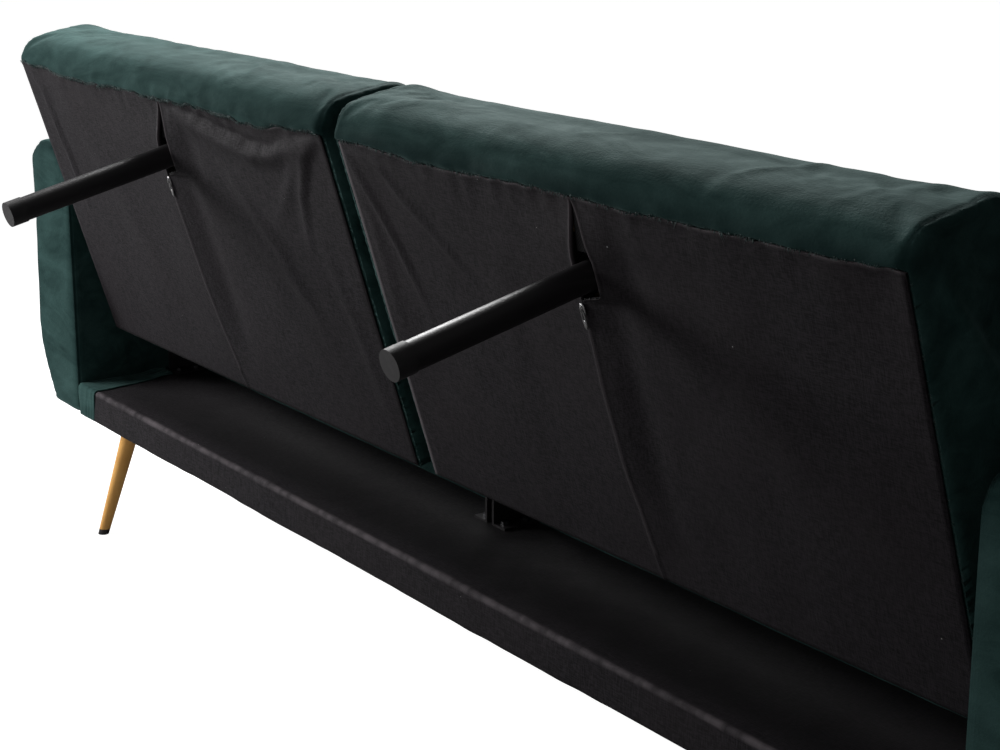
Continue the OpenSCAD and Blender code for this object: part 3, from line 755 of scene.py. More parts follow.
def slit_edge(u, mid, flap):
    """Where a flap of the lining ends at the slit: its x and how far it stands out. flap is 1 towards +X."""
    rise = np.sin(math.pi * np.clip(u / 0.56, 0, 1)) ** 0.8
    closed = mid + SLIT_BOW * rise
    beside = mid + flap * (LEG_RADIUS + 0.0010)
    apex = mid + SLIT_LEAN[int(np.sign(mid))]
    above = apex + (beside - apex) * (SLIT_TOP - u) / (SLIT_TOP - LEG_HIGH)
    opened = smooth((u - ZIP_TOP) / (LEG_LOW - ZIP_TOP))
    x = np.where(u < ZIP_TOP, closed, closed + (beside - closed) * opened)
    x = np.where(u > LEG_HIGH, above, x)
    out = 0.0068 * smooth(u / 0.16) * smooth((SLIT_TOP - u) / 0.06)
    return x + flap * 0.0004, out


LINING_FOLDS = {
    1: [
        ([(0.43, 0.438), (0.34, 0.430), (0.26, 0.419), (0.17, 0.418), (0.12, 0.425)], -0.0034, 0.006, 1.0),
        ([(0.42, 0.425), (0.31, 0.405), (0.21, 0.400), (0.12, 0.410), (0.04, 0.432)], 0.0085, 0.015, 1.3),
        ([(0.03, 0.438), (0.075, 0.405), (0.11, 0.35), (0.13, 0.28)], 0.0045, 0.010, 1.5),
        ([(0.05, 0.44), (0.12, 0.38), (0.20, 0.30)], 0.0028, 0.013, 1.0),
        ([(0.41, 0.32), (0.28, 0.264), (0.17, 0.19)], 0.0030, 0.016, 1.0),
        ([(0.31, 0.37), (0.22, 0.26), (0.15, 0.14)], 0.0034, 0.018, 1.4),
        ([(0.10, 0.30), (0.07, 0.18), (0.05, 0.05)], 0.0024, 0.014, 1.0),
        ([(0.880, 0.438), (0.848, 0.405), (0.842, 0.36), (0.834, 0.30), (0.832, 0.22)], 0.0048, 0.009, 1.8),
        ([(0.80, 0.43), (0.70, 0.30), (0.62, 0.12)], 0.0016, 0.030, 1.0),
    ],
    -1: [
        (
            [(-0.024, 0.438), (-0.051, 0.393), (-0.072, 0.355), (-0.09, 0.32), (-0.12, 0.24)],
            0.0042,
            0.008,
            1.6,
        ),
        ([(-0.028, 0.440), (-0.10, 0.418), (-0.13, 0.389), (-0.17, 0.36), (-0.24, 0.30)], 0.0036, 0.009, 1.6),
        ([(-0.03, 0.42), (-0.045, 0.33), (-0.05, 0.22)], 0.0022, 0.010, 1.0),
        ([(-0.16, 0.432), (-0.19, 0.41)], 0.0016, 0.006, 1.0),
        ([(-0.34, 0.43), (-0.30, 0.33), (-0.28, 0.2)], 0.0014, 0.024, 1.0),
        ([(-0.60, 0.42), (-0.70, 0.25), (-0.75, 0.08)], 0.0014, 0.034, 1.0),
    ],
}


def lining_out(x, u, side, edge_x, edge_out, flap):
    """How far the lining stands out of its plane."""
    from_slit = np.abs(x - edge_x)
    reach = 0.075 if flap > 0 else 0.034
    lip = edge_out * np.exp(-((from_slit / reach) ** 1.5))
    if flap < 0:
        lip = lip - 0.45 * edge_out * bell(from_slit - 0.048, 0.022)
    ends = np.minimum(np.abs(x) - LINING_X0, LINING_X1 - np.abs(x)) / 0.02
    free = smooth(np.minimum.reduce([u / 0.03, (LINING_H - u) / 0.012, ends]))
    out = 0.0014 * noise(x, u, 0.11, 41 + side) + 0.0007 * noise(x, u, 0.045, 43 + side)
    for line, height, width, steep in LINING_FOLDS[side]:
        out = out + fold(x, u, line, height, width, steep)
    pucker = 0.0012 * noise(x, 0 * u, 0.016, 47 + side) * smooth((u - LINING_H + 0.045) / 0.045)
    return 0.0008 + lip + np.maximum(out, -0.0022) * (0.15 + 0.85 * free) + pucker


def uneven(count, power=1.8):
    """Shares from 0 to 1, closer together towards 1."""
    return 1 - (1 - np.linspace(0, 1, count)) ** power


def lining_flap(side, flap):
    """Points of one flap, as rows from bottom to top, with a rolled hem at the top and at the slit, and the share
    of painted highlight at each point.
    """
    mid = side * LINING_MID
    far = side * LINING_X1 if flap == side else side * LINING_X0
    finer_from = LINING_H * 0.7
    rows = np.concatenate([np.linspace(0, finer_from, 66), np.linspace(finer_from, LINING_H, 56)[1:]])
    shares = np.concatenate([uneven(110), [1.0, 1.0]])
    u = np.repeat(rows[:, None], len(shares), axis=1)
    edge_x, edge_out = slit_edge(u, mid, flap)
    x = far + (edge_x - far) * shares[None, :]
    stretch = lining_top(x, side) / LINING_H
    w = lining_out(x, u, side, edge_x, edge_out, flap)
    u = u * np.where(u > 0.25, 1 + (stretch - 1) * smooth((u - 0.25) / 0.19), 1)
    from_slit = ((1 - shares) * LINING_MID)[None, :]
    from_top = u[-1:] - u
    w = w + 0.0010 * bell(from_slit, 0.004) + 0.0010 * bell(from_top, 0.003)
    tuck = np.zeros(len(shares))
    tuck[-2], tuck[-1] = 0.0022, 0.0048
    x = x - flap * 0.0007 * (tuck > 0)[None, :]
    w = w - tuck[None, :]
    # Painted highlights along the slit's lips, the top hem and the inner edge: faint round the leg, stronger on
    # the left back.
    slit_highlight = bell(from_slit, 0.0022) * (u > 0.03)
    slit_highlight = slit_highlight * np.where(u < LEG_LOW + 0.006, np.where(u > ZIP_TOP - 0.004, 0.1, 0.5), 1.0)
    top_highlight = bell(from_top, 0.0026) * (1.0 if side < 0 else 0.35)
    inner_edge_highlight = bell(np.abs(x) - LINING_X0, 0.0018) * (1.5 if side < 0 else 0.5)
    hem = np.maximum.reduce([slit_highlight, top_highlight, inner_edge_highlight])
    top = in_row(x[-1:], u[-1:] - 0.0006, w[-1:] - 0.003)
    points = np.concatenate([in_row(x, u, w), top])
    return points, np.concatenate([hem, hem[-1:]])


def make_lining(name):
    side = SIDES[name]
    points, faces, hem_highlights = [], [], []
    for flap in (-1, 1):
        grid, hem = lining_flap(side, flap)
        squares = grid_faces(*grid.shape[:2], sum(len(p) for p in points))
        faces += turned(squares) if flap < 0 else squares
        points.append(grid.reshape(-1, 3))
        hem_highlights.append(hem.ravel())
    obj = from_points(f"lining_cloth_{name}", np.concatenate(points), faces, MATERIALS["lining"])
    attribute(obj, "hem", np.concatenate(hem_highlights))
    belongs(thicken(obj, 0.0008), f"back_{name}", "lining", f"lining_{name}")


for name in SIDES:
    make_lining(name)


# ---------------------------------------------------------------- cut pile along the linings' upper edges


def pile_fringe(name):
    """Tufts of cut velvet pile that stand over the lining's upper edge."""
    side = SIDES[name]
    rng = np.random.default_rng(90 + side)
    count = 1500 if side > 0 else 420
    x = side * rng.uniform(LINING_X0 + 0.002, LINING_X1 - 0.006, count)
    thick = noise(x, 0 * x, 0.03, 95 + side) * 0.5 + 0.5
    length = 0.0014 + 0.0042 * thick * rng.uniform(0.3, 1, count)
    length = length * np.where(rng.uniform(0, 1, count) > 0.96, 2.0, 1)
    root_u = lining_top(x, side) + rng.uniform(0.0002, 0.0045, count)
    root_w = velvet_roll(x, root_u, side) - 0.0020 + rng.uniform(0, 0.0012, count)
    lean = rng.uniform(-0.6, 0.6, count)
    points, faces = [], []
    for i in range(count):
        r = 0.00045 + 0.0004 * thick[i]
        base = in_row(x[i], root_u[i], root_w[i])
        tip = in_row(x[i] + lean[i] * length[i], root_u[i] - length[i] * 0.9, root_w[i] + 0.0016)
        across = np.array((r, 0, 0))
        n = len(points)
        points += [base + across, base - across, base + OUTWARD * r * 1.4, tip]
        faces += [(n, n + 1, n + 3), (n + 1, n + 2, n + 3), (n + 2, n, n + 3), (n, n + 2, n + 1)]
    obj = from_points(f"pile_fringe_{name}", points, faces, cut_pile_material())
    return belongs(obj, f"back_{name}", "velvet")


for name in SIDES:
    pile_fringe(name)


# ---------------------------------------------------------------- the zips


def tube(path, radius, flat, up, sides=8):
    """Points and faces of a closed tube along a path."""
    path = np.asarray(path, float)
    rings = []
    for i, place in enumerate(path):
        ahead = path[min(i + 1, len(path) - 1)] - path[max(i - 1, 0)]
        ahead = ahead / np.linalg.norm(ahead)
        across = np.cross(ahead, up)
        across = across / np.linalg.norm(across)
        rise = np.cross(across, ahead)
        turns = [2 * math.pi * k / sides for k in range(sides)]
        rings.append([place + radius * (math.cos(a) * across + flat * math.sin(a) * rise) for a in turns])
    return swept(rings)


def look_inwards(points, faces):
    """Whether the faces of a closed solid look into it."""
    fans = [(face[0], face[k], face[k + 1]) for face in faces for k in range(1, len(face) - 1)]
    a, b, c = (points - points.mean(axis=0))[np.array(fans)].transpose(1, 0, 2)
    return (a * np.cross(b, c)).sum() < 0


def gather(parts):
    """Several closed solids as one lot of points and faces, with all faces turned outwards."""
    points, faces = [], []
    for some, shapes in parts:
        some = np.array(some, float)
        if look_inwards(some, shapes):
            shapes = turned(shapes)
        faces += [tuple(i + len(points) for i in f) for f in shapes]
        points += list(some)
    return points, faces


def brick(centre, sizes, axes):
    """A box with chamfered long edges, given by its half sizes along three axes."""
    corners = [(-1, -0.7), (-0.7, -1), (0.7, -1), (1, -0.7), (1, 0.7), (0.7, 1), (-0.7, 1), (-1, 0.7)]
    a, b, c = (size * axis for size, axis in zip(sizes, axes))
    return swept([[centre + tip * a + p * b + q * c for p, q in corners] for tip in (-1, 1)])


X_AXIS = np.array((1.0, 0, 0))
BACK_AXES = (X_AXIS, SLOPE, OUTWARD)


def zip_gusset(mid):
    """The thin cloth between the slit's lips above the leg, as a closed sheet."""
    rows, cols = 12, 9
    count = rows * cols
    us = np.linspace(LEG_HIGH + 0.002, SLIT_TOP, rows)[:, None]
    low_x, high_x = (slit_edge(us, mid, flap)[0] for flap in (-1, 1))
    shares = np.linspace(0, 1, cols)[None, :]
    x = low_x * (1 - shares) + high_x * shares
    front = in_row(x, us, -0.0012 - 0.0010 * np.sin(math.pi * shares))
    points = [*front.reshape(-1, 3), *(front - 0.0006 * OUTWARD).reshape(-1, 3)]
    number = np.arange(count).reshape(rows, cols)
    rim = np.concatenate([number[0], number[1:, -1], number[-1, -2::-1], number[-2:0:-1, 0]]).tolist()
    faces = turned(grid_faces(rows, cols)) + grid_faces(rows, cols, count)
    faces += [(a, b, b + count, a + count) for a, b in zip(rim, rim[1:] + rim[:1])]
    return points, faces


TOOTH_PITCH = 0.0022


def zip_chain(name):
    """Coil teeth along the slit: meshed below the slider, and along both lips above it, on their tapes."""
    side = SIDES[name]
    mid = side * LINING_MID
    parts = []
    for u in np.arange(0.006, SLIT_TOP - 0.004, TOOTH_PITCH):
        for flap in (-1, 1):
            x, out = slit_edge(np.array(u), mid, flap)
            apart = 0.0011 if u < ZIP_TOP else 0.0006
            shift = TOOTH_PITCH / 2 * (flap > 0)
            centre = in_row(x - flap * 0.0004 * (u < ZIP_TOP), u + shift, out - 0.0006)
            parts.append(brick(centre, (apart, 0.0007, 0.0006), BACK_AXES))
    parts.append(zip_gusset(mid))
    us = np.linspace(ZIP_TOP - 0.012, LEG_HIGH + 0.030, 26)
    for flap in (-1, 1):
        x, out = slit_edge(us, mid, flap)
        deep = mid + flap * (LEG_RADIUS + 0.0052)
        lip = in_row(x - flap * 0.0002, us, out - 0.0008)
        fold_back = in_row(x * 0.3 + deep * 0.7, us, -0.0008 + 0 * us)
        foot = in_row(deep + 0 * us, us, -0.0112 + 0 * us)
        thick = -flap * 0.0005 * X_AXIS
        section = [lip, fold_back, foot, foot + thick, fold_back + thick, lip + thick]
        parts.append(swept(np.stack(section, axis=1)))
    us = np.linspace(0.004, SLIT_TOP, 60)
    for flap in (-1, 1):
        x, out = slit_edge(us, mid, flap)
        inner = in_row(x - flap * 0.0002, us, out - 0.0016)
        outer = in_row(x + flap * 0.012, us, out * 0.8 - 0.0024)
        thick = OUTWARD * 0.0006
        parts.append(swept(np.stack([inner, outer, outer - thick, inner - thick], axis=1)))
    obj = from_points(f"zip_chain_{name}", *gather(parts), MATERIALS["zip_tape"])
    obj.data.polygons.foreach_set("use_smooth", [False] * len(obj.data.polygons))
    return belongs(obj, f"back_{name}", "zip_tape", f"zip_tape_{name}")


def zip_slider(name):
    """Slider body of two shield plates on a bridge, with a loop and a pull that hangs from it."""
    side = SIDES[name]
    low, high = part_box(f"zip_slider_{name}")
    u = on_back(np.array([[0, low.y, low.z], [0, high.y, high.z]], float))[1].max() - 0.008
    x, out = slit_edge(np.array(u - 0.002), side * LINING_MID, 1)
    x, out = float(x), float(out)
    half_shield = [(0.75, -1), (1.0, -0.55), (1.0, 0.35), (0.55, 1)]
    outline = np.array([(-p, q) for p, q in half_shield[1::-1]] + half_shield + [(0, 0.72)]
                       + [(-p, q) for p, q in half_shield[:1:-1]])
    parts = []
    for level, half in ((0.0012, 1.0), (-0.0034, 0.94)):
        rings = []
        for share, height in ((0.86, 0), (1, 0.0003), (1, 0.0010), (0.84, 0.0014)):
            plate_x, plate_u = (outline * (0.0041, 0.0068) * half * share).T
            rings.append(in_row(x + plate_x, u + plate_u, out + level + height))
        parts.append(swept(rings))
    parts.append(brick(in_row(x, u + 0.0052, out - 0.0006), (0.0012, 0.0012, 0.0026), BACK_AXES))
    bend = np.linspace(0, math.pi, 9)
    loop = in_row(x, u + 0.0036 * np.cos(bend), out + 0.0022 + 0.0022 * np.sin(bend))
    parts.append(tube(loop, 0.0007, 1.0, X_AXIS))
    pull_length, pull_half_w = 0.022, 0.0026
    turns = np.linspace(0, 2 * math.pi, 25)
    hanging = (1 - np.cos(turns)) / 2
    pull_x = x + pull_half_w * np.sin(turns) * (0.75 + 0.25 * hanging)
    pull = in_row(pull_x, u + 0.0004 - pull_length * hanging, out + 0.0030 + 0.0004 * np.cos(turns))
    parts.append(tube(pull, 0.0009, 0.7, OUTWARD))
    parts.append(brick(in_row(x, u - 0.0165, out + 0.0028), (0.0022, 0.0042, 0.0006), BACK_AXES))
    obj = from_points(f"zip_slider_body_{name}", *gather(parts), MATERIALS["zip_metal"])
    return belongs(obj, f"zip_{name}", "zip_metal", f"zip_slider_{name}")


for name in SIDES:
    zip_chain(name)
    zip_slider(name)

# ---------------------------------------------------------------- the seat cushions


def seat_outline(inset, top):
    """Outline of a seat cushion as (y, z), drawn in by inset, and by top at its upper face."""
    front, rear = seat_low.y + inset, seat_high.y - inset
    high = seat_high.z - top
    return (
        [(front + 0.006, SLAB_TOP + 0.001), (rear - 0.004, SLAB_TOP + 0.001), (rear, SLAB_TOP + 0.008)]
        + arc(rear - 0.014, high - 0.014, 0.014, 0, 90, 6)
        + arc(front + 0.040, high - 0.040, 0.040, 90, 180, 8)
        + [(front, SLAB_TOP + 0.010)]
    )


def seat_rings():
    insets = ((0, 0.009, 0.015), (0.003, 0.004, 0.011), (0.012, 0.002, 0.009))
    x0, x1 = seat_low.x + 0.0015, seat_high.x - 0.0015
    places = [(x0 + d, i, t) for d, i, t in insets] + [(x1 - d, i, t) for d, i, t in reversed(insets)]
    rings = []
    for x, inset, top in places:
        y, z = np.array(seat_outline(inset, top)).T
        rings.append(np.stack([np.full_like(y, x), y, z], axis=1))
    return rings


def seat_held(points):
    x, y, z = points.T
    foot = smooth((SLAB_TOP + 0.045 - z) / 0.035)
    ends = smooth(np.maximum(seat_low.x + 0.006 - x, x - seat_high.x + 0.006) / 0.006 + 1)
    rear = smooth((y - seat_high.y + 0.010) / 0.008)
    return np.maximum.reduce([foot, 0.75 * ends, rear])


def square_foot(points, side):
    """Squares up the lower part of a seat cushion, which is stapled round its box."""
    x, y, z = points.T
    x = x * side
    low = z < SLAB_TOP + 0.075
    y = np.where(low & (y > seat_high.y - 0.012), np.maximum(y, seat_high.y - 0.0006), y)
    y = np.where(low & (y < seat_low.y + 0.012), np.minimum(y, seat_low.y + 0.0010), y)
    x = np.where(low & (x < seat_low.x + 0.006), np.minimum(x, seat_low.x + 0.0008), x)
    x = np.where(low & (x > seat_high.x - 0.006), np.maximum(x, seat_high.x - 0.0008), x)
    z = np.where(z < SLAB_TOP + 0.006, SLAB_TOP + 0.0006, z)
    return np.stack([x * side, y, z], axis=1)


SEAT_CREASES = [
    ([(0.06, -0.46), (0.11, -0.42), (0.16, -0.41)], 0.0024, 0.012),
    ([(0.86, -0.46), (0.80, -0.42), (0.75, -0.40)], 0.0024, 0.012),
    ([(0.30, -0.50), (0.34, -0.46)], 0.0016, 0.012),
    ([(0.62, -0.50), (0.59, -0.455)], 0.0016, 0.012),
]


def finish_seat(obj, name):
    side = SIDES[name]
    mesh = obj.data
    write(mesh, square_foot(read(mesh), side))
    points, normals = read(mesh), read(mesh, "normal")
    x, y, z = points.T
    x = x * side
    up = smooth((z - SLAB_TOP - 0.03) / 0.05)
    lumps = 0.0022 * noise(x, y, 0.13, 11 + side) + 0.0009 * noise(x, y + z, 0.045, 13 + side)
    points = pushed(points, normals, lumps * up)
    points = creased(points, normals, x, y, up, 1.4, SEAT_CREASES)
    ends = np.minimum(np.abs(x - seat_low.x - 0.004), np.abs(x - seat_high.x + 0.004))
    front = np.abs(z - SLAB_TOP - 0.122) + (y > seat_low.y + 0.03)
    points, painted_shade = seam_groove(points, normals, np.where(z > SLAB_TOP + 0.012, ends, 1.0), 0.0030, 0.0036)
    points, welt_shade = seam_groove(points, normals, front, 0.0034, 0.0036)
    ceiling = np.where(y > seat_high.y - 0.05, seat_high.z + 0.002, np.inf)
    points[:, 2] = np.minimum(points[:, 2], ceiling)
    write(mesh, points)
    # Painted shade in the end seams and the front welt.
    attribute(obj, "painted_shade", np.maximum(painted_shade, welt_shade))


seat = lofted("seat_upholstery_right", seat_rings(), 0.0085, MATERIALS["velvet"])
subdivide(swell(seat, seat_held, 0.016))
for name, obj in {"right": seat, "left": mirrored(seat, "seat_upholstery_left")}.items():
    finish_seat(obj, name)
    belongs(obj, "base", "velvet", f"seat_cover_{name}", f"seat_foam_{name}")

# ---------------------------------------------------------------- the arms

ARM_W = arm_high.x - arm_low.x
ARM_FOOT_W, ARM_SHOULDER, ARM_CROWN, ARM_BELLY = 0.097, 0.588, 0.027, 0.354
ARM_OUTER_R, ARM_INNER_R = 0.016, 0.046


def arm_outline(inset):
    """Outline of the right arm as (x, z), drawn in by inset on its outer and upper faces."""
    x1 = ARM_INNER + ARM_W - inset
    down = 1 - np.linspace(0, 1, 9)
    low = list(zip(x1 - (ARM_W - ARM_FOOT_W) * down**2, ARM_BELLY - (ARM_BELLY - SLAB_FOOT) * down))
    high = ARM_SHOULDER - inset
    top_w = ARM_W - inset - (ARM_OUTER_R + ARM_INNER_R) / 2
    t = np.linspace(0, 1, 9)[1:-1]
    crown = list(zip(x1 - ARM_OUTER_R / 2 - top_w * t, high - 0.004 + 4 * ARM_CROWN * t * (1 - t)))
    return (
        [(ARM_INNER + 0.0005, SLAB_FOOT + 0.0005)]
        + low
        + arc(x1 - ARM_OUTER_R, high - ARM_OUTER_R, ARM_OUTER_R, 0, 60, 6)
        + crown
        + arc(ARM_INNER + ARM_INNER_R, high - ARM_INNER_R, ARM_INNER_R - 0.0005, 120, 180, 6)
    )


def arm_rings():
    insets = ((0, 0.0035), (0.0020, 0.0010), (0.008, 0.0))
    y0, y1 = arm_low.y + 0.002, arm_high.y + 0.0035
    places = [(y0 + d, i) for d, i in insets] + [(y1 - d, i) for d, i in reversed(insets)]
    rings = []
    for y, inset in places:
        x, z = np.array(arm_outline(inset)).T
        rings.append(np.stack([x, np.full_like(x, y), z], axis=1))
    return rings


def arm_held(points):
    x, y, z = points.T
    inner = smooth((ARM_INNER + 0.010 - x) / 0.008) * smooth((0.56 - z) / 0.03)
    foot = smooth((SLAB_FOOT + 0.035 - z) / 0.030)
    ends = 0.3 * smooth(np.maximum(arm_low.y + 0.008 - y, y - arm_high.y + 0.008) / 0.006)
    return np.maximum.reduce([inner, foot, ends])


ARM_CREASES = [
    ([(0.200, 0.600), (0.205, 0.560), (0.222, 0.52)], 0.0018, 0.014),
    ([(0.12, 0.56), (0.06, 0.50), (0.02, 0.42)], 0.0016, 0.014),
    ([(-0.47, 0.58), (-0.42, 0.54), (-0.40, 0.48)], 0.0020, 0.014),
    ([(-0.20, 0.24), (-0.10, 0.27), (0.02, 0.26)], 0.0016, 0.014),
]


def finish_arm(obj, name):
    side = SIDES[name]
    mesh = obj.data
    points, normals = read(mesh), read(mesh, "normal")
    x, y, z = points.T
    x = x * side
    loose = smooth((x - ARM_INNER - 0.004) / 0.02)
    lumps = 0.0018 * noise(y, z + x, 0.12, 61 + side) + 0.0009 * noise(y - x, z, 0.040, 63 + side)
    points = pushed(points, normals, lumps * loose)
    points = creased(points, normals, y, z, loose, 1.4, ARM_CREASES)
    rim = np.minimum(np.abs(y - arm_low.y - 0.0060), np.abs(y - arm_high.y + 0.0005))
    points, painted_shade = seam_groove(points, normals, np.where(z > SLAB_FOOT + 0.01, rim, 1.0), 0.0022, 0.0034)
    points[:, 2] = np.maximum(points[:, 2], SLAB_FOOT)
    write(mesh, points)
    # Painted shade along the seams at the arm's front and rear faces.
    attribute(obj, "painted_shade", painted_shade)


arm = lofted("arm_upholstery_right", arm_rings(), 0.0085, MATERIALS["velvet"])
subdivide(swell(arm, arm_held, 0.006))
for name, obj in {"right": arm, "left": mirrored(arm, "arm_upholstery_left")}.items():
    finish_arm(obj, name)
    belongs(obj, "base", "velvet", f"arm_pad_{name}")

# ---------------------------------------------------------------- cloth on the base


def run_of(path, spacing=0.006):
    """Evenly spaced points on a line of points, and their outward directions."""
    path = np.array(path, float)
    lengths = np.linalg.norm(np.diff(path, axis=0), axis=1)
    done = np.concatenate([[0], np.cumsum(lengths)])
    count = max(2, int(done[-1] / spacing) + 1)
    at = np.linspace(0, done[-1], count)
    points = np.stack([np.interp(at, done, path[:, k]) for k in (0, 1)], axis=1)
    ahead = np.gradient(points, axis=0)
    ahead /= np.linalg.norm(ahead, axis=1, keepdims=True)
    return points, np.stack([-ahead[:, 1], ahead[:, 0]], axis=1), done[-1]


def hung(name, across, line, out, lift, material, flip=True):
    """A sheet whose rows follow a line of points, raised by lift along the line's outward directions."""
    y, z = (line[:, k : k + 1] + out[:, k : k + 1] * lift for k in (0, 1))
    faces = grid_faces(*across.shape)
    return from_points(name, np.stack([across, y, z], axis=2), turned(faces) if flip else faces, material)


def down_and_under(y, inwards):
    """The end of a cloth's path: down a face of the slab and in under it."""
    turn = [(y + inwards * depth, SLAB_FOOT - drop) for depth, drop in ((0.002, 0.0005), (0.026, 0.0008))]
    return [(y, SLAB_FOOT + 0.002)] + turn


EDGE_R = 0.004
LEDGE_SPACING, STRIP_SPACING = 0.0028, 0.003
STRIP_W, STRIP_LIFT = 0.062, 0.0012

ledge_path = [(ledge_low.y, SLAB_TOP)] + [(BASE_REAR - 0.30 + 0.01 * k, SLAB_TOP) for k in range(29)]
ledge_path += arc(BASE_REAR - EDGE_R, SLAB_TOP - EDGE_R, EDGE_R, 90, 0, 10) + down_and_under(BASE_REAR, -1)
profile, outward, ledge_length = run_of(ledge_path, LEDGE_SPACING)
ledge_x = np.linspace(-ARM_INNER + 0.001, ARM_INNER - 0.001, 420)
rear_part = smooth((profile[:, 0] - BASE_REAR + 0.34) / 0.05)
across, along = np.meshgrid(ledge_x, np.arange(len(profile)) * LEDGE_SPACING)
ripple = 0.0009 * noise(across, along, 0.16, 81) + 0.0006 * noise(across, along, 0.035, 83)
at_edge = profile[:, 1] > SLAB_TOP - 0.004
near_edge = bell(profile[:, 0] - BASE_REAR + 0.003, 0.006) * at_edge
ripple += near_edge[:, None] * 0.0008 * noise(across, along, 0.022, 85)
ripple = np.maximum(ripple * rear_part[:, None], -0.0006)
ledge = hung("ledge_cloth", across, profile, outward, ripple, MATERIALS["lining"])
# Painted highlight along the ledge cloth's rear top edge, broken up by noise.
edge_highlight = bell(profile[:, 0] - BASE_REAR + 0.002, 0.0035) * at_edge
rubbed_and_highlit = 0.85 + 0.45 * noise(across, along, 0.03, 87) + 0.55 * noise(across, along, 0.007, 89)
attribute(ledge, "hem", (edge_highlight[:, None] * rubbed_and_highlit).clip(0, 1.6).ravel())
# Painted shade on the ledge cloth's top where the backs shade it, deepest in the middle.
on_top = smooth((BASE_REAR - 0.012 - profile[:, 0]) / 0.03) * (profile[:, 1] > SLAB_TOP - 0.001)
back_shadow_share = 0.60 + 0.40 * smooth((0.85 - np.abs(across)) / 0.4) + 0.15 * noise(across, along, 0.25, 91)
attribute(ledge, "flat", (on_top[:, None] * back_shadow_share).clip(0, 1).ravel())
belongs(thicken(ledge, 0.0010), "base", "lining", "ledge_cover")


def end_strip(name):
    """Velvet turned over the ledge's end and rear edge, gathered where it runs out near the hinge."""
    side = SIDES[name]
    start_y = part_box("ledge_end_strips")[0].y
    path = [(start_y + 0.012 * k, SLAB_TOP + STRIP_LIFT) for k in range(11)]
    path += arc(BASE_REAR - EDGE_R, SLAB_TOP - EDGE_R, EDGE_R + STRIP_LIFT, 90, 0, 10)
    path.append((BASE_REAR + STRIP_LIFT, SLAB_FOOT + 0.001))
    line, out, length = run_of(path, STRIP_SPACING)
    s, across = np.meshgrid(np.arange(len(line)) * STRIP_SPACING, np.linspace(0, 1, 26), indexing="ij")
    bunched = smooth((0.050 - s) / 0.050)
    spread_w = np.interp(s, [0, length - 0.07, length - 0.05, length], [0.040, STRIP_W, 0.060, 0.052])
    spread_w = spread_w * (1 - 0.12 * bunched + 0.10 * np.sin(s * 60) * bunched)
    x = ARM_INNER - 0.0008 - across * spread_w
    pleats = 0.0048 * bunched * np.abs(np.sin(across * 13 + s * 45 + noise(across, s, 0.1, 7) * 1.5))
    hem = 0.0007 * bell(across - 1, 0.06) - 0.0009 * (across > 0.985)
    ripple = 0.0007 * noise(s, across, 0.03, 9) + 0.0006 * noise(s, across * 0.04, 0.02, 3)
    lift = pleats + hem + ripple
    obj = hung(f"end_strip_{name}", side * x, line, out, lift, MATERIALS["velvet"], side < 0)
    # Painted shade: a faint dark line along the strip's outer edge.
    attribute(obj, "painted_shade", (0.1 * (across > 0.97)).ravel())
    belongs(thicken(obj, 0.0010), "base", "velvet")
    return obj


strips = [end_strip(name) for name in SIDES]
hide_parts("ledge_end_strips")

border_low, border_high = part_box("base_border")
front_y, border_top = border_low.y, border_high.z
path = [(front_y + 0.002, border_top + 0.0003)]
path += arc(front_y + EDGE_R, border_top - EDGE_R, EDGE_R, 90, 180, 6) + down_and_under(front_y, 1)
profile, outward, border_length = run_of(path[::-1], STRIP_SPACING)
border_x = np.linspace(border_low.x, border_high.x, 380)
across, along = np.meshgrid(border_x, np.arange(len(profile)) * STRIP_SPACING)
ripple = 0.0010 * noise(across, along, 0.10, 15) + 0.0006 * noise(across, along, 0.025, 17)
border = hung("front_border", across, profile, outward, ripple, MATERIALS["velvet"])
belongs(thicken(border, 0.0012), "base", "velvet", "base_border")

dust_low, dust_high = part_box("dust_cover")
xs, ys = np.linspace(dust_low.x, dust_high.x, 240), np.linspace(dust_low.y, dust_high.y - 0.001, 110)
across, along = np.meshgrid(xs, ys)
from_ends = np.minimum(across - dust_low.x, dust_high.x - across)
from_sides = np.minimum(along - dust_low.y, dust_high.y - along)
off_rails = smooth((np.minimum(from_ends, from_sides) - 0.06) / 0.08)
sag = 0.0015 + 0.0015 * noise(across, along, 0.20, 25) + 0.0006 * noise(across, along, 0.05, 27)
dust_points = np.stack([across, along, SLAB_FOOT + 0.0006 - off_rails * sag], axis=2)
dust = from_points("dust_cloth", dust_points, turned(grid_faces(*across.shape)), MATERIALS["lining"])
belongs(thicken(dust, 0.0006), "base", "lining", "dust_cover")

# ---------------------------------------------------------------- floor, light and camera


def looked_at(beside):
    """1 for what the camera looks at directly, 0 for what only throws light."""
    return add(beside, "LightPath").outputs["Is Camera Ray"]


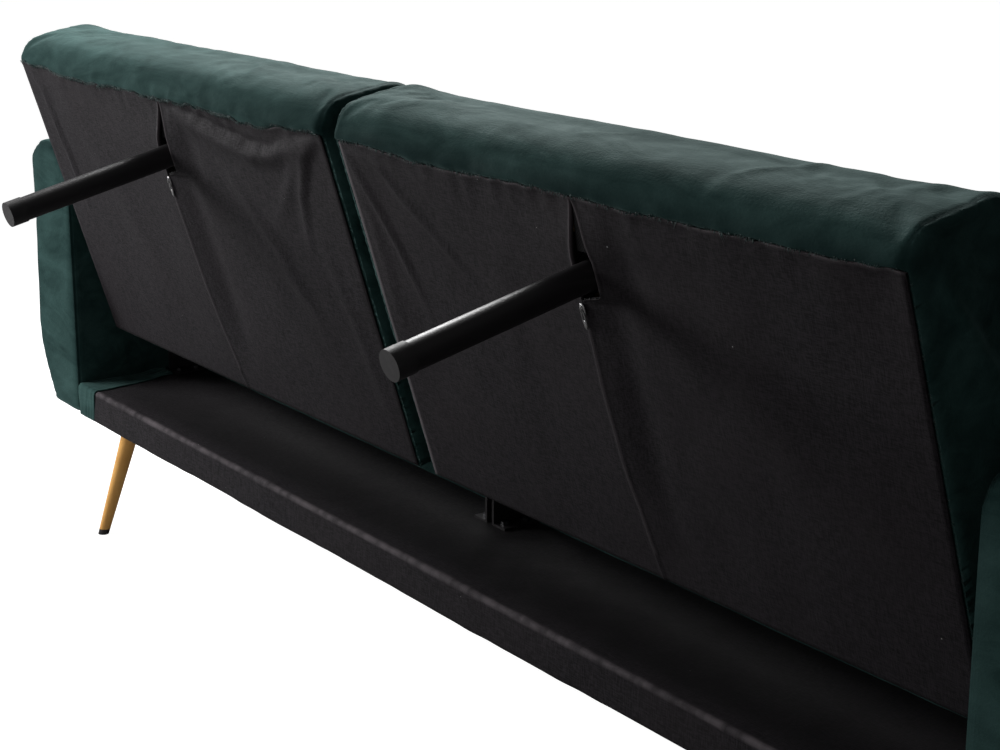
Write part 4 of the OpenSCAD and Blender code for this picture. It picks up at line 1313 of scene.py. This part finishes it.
def floor_material():
    """Pale studio floor, faintly uneven, bright to look at and dull in what it throws back up."""
    material, place = start("floor")
    tone = grain(place, 1.5, 3, 0.5)
    colour = mix(tone, (0.30, 0.30, 0.30), (0.33, 0.33, 0.33))
    return end(
        material,
        Base_Color=colour,
        Roughness=0.9,
        Specular_IOR_Level=0.1,
        Emission_Color=(1, 1, 1, 1),
        Emission_Strength=times(looked_at(place), 0.98),
    )


FLOOR_REACH = 30
floor_corners = [(x * FLOOR_REACH, y * FLOOR_REACH, 0) for x, y in ((-1, -1), (1, -1), (1, 1), (-1, 1))]
from_points("floor", floor_corners, [(0, 1, 2, 3)], floor_material())

scene = bpy.context.scene
scene.view_settings.view_transform = "Standard"


def lamp(name, place, target, size, power):
    """A soft rectangular light that faces a target."""
    data = bpy.data.lights.new(name, "AREA")
    data.shape = "RECTANGLE"
    data.size, data.size_y = size
    data.energy = power
    obj = bpy.data.objects.new(name, data)
    obj.location = place
    obj.rotation_euler = (Vector(target) - Vector(place)).to_track_quat("-Z", "Y").to_euler()
    scene.collection.objects.link(obj)


lamp("key_light", (1.95, 1.45, 1.25), (0.5, 0.2, 0.5), (0.9, 0.9), 46)
lamp("top_light", (1.5, -0.8, 1.9), (0.4, 0.1, 0.7), (1.3, 1.1), 86)
lamp("fill_light", (-0.8, 2.7, 0.8), (-0.6, 0.2, 0.4), (1.8, 1.2), 5)

world = bpy.data.worlds.new("studio")
world.use_nodes = True
background = world.node_tree.nodes["Background"]
background.inputs["Color"].default_value = (1, 1, 1, 1)
strength = maths("MAXIMUM", looked_at(world.node_tree), 0.08)
world.node_tree.links.new(strength, background.inputs["Strength"])
scene.world = world

camera_data = bpy.data.cameras.new("camera")
camera_data.sensor_width = 36
camera_data.lens = 72.99
camera_data.clip_end = 200
camera = bpy.data.objects.new("camera", camera_data)
ahead = Vector((0.79036, -0.55415, -0.26123)).normalized()
right = ahead.cross(Vector((0, 0, 1))).normalized()
upward = right.cross(ahead)
turn = Matrix((right, upward, -ahead)).transposed().to_4x4()
camera.matrix_world = Matrix.Translation((-1.9988, 1.4727, 1.0838)) @ turn
scene.collection.objects.link(camera)
scene.camera = camera

bpy.context.view_layer.update()
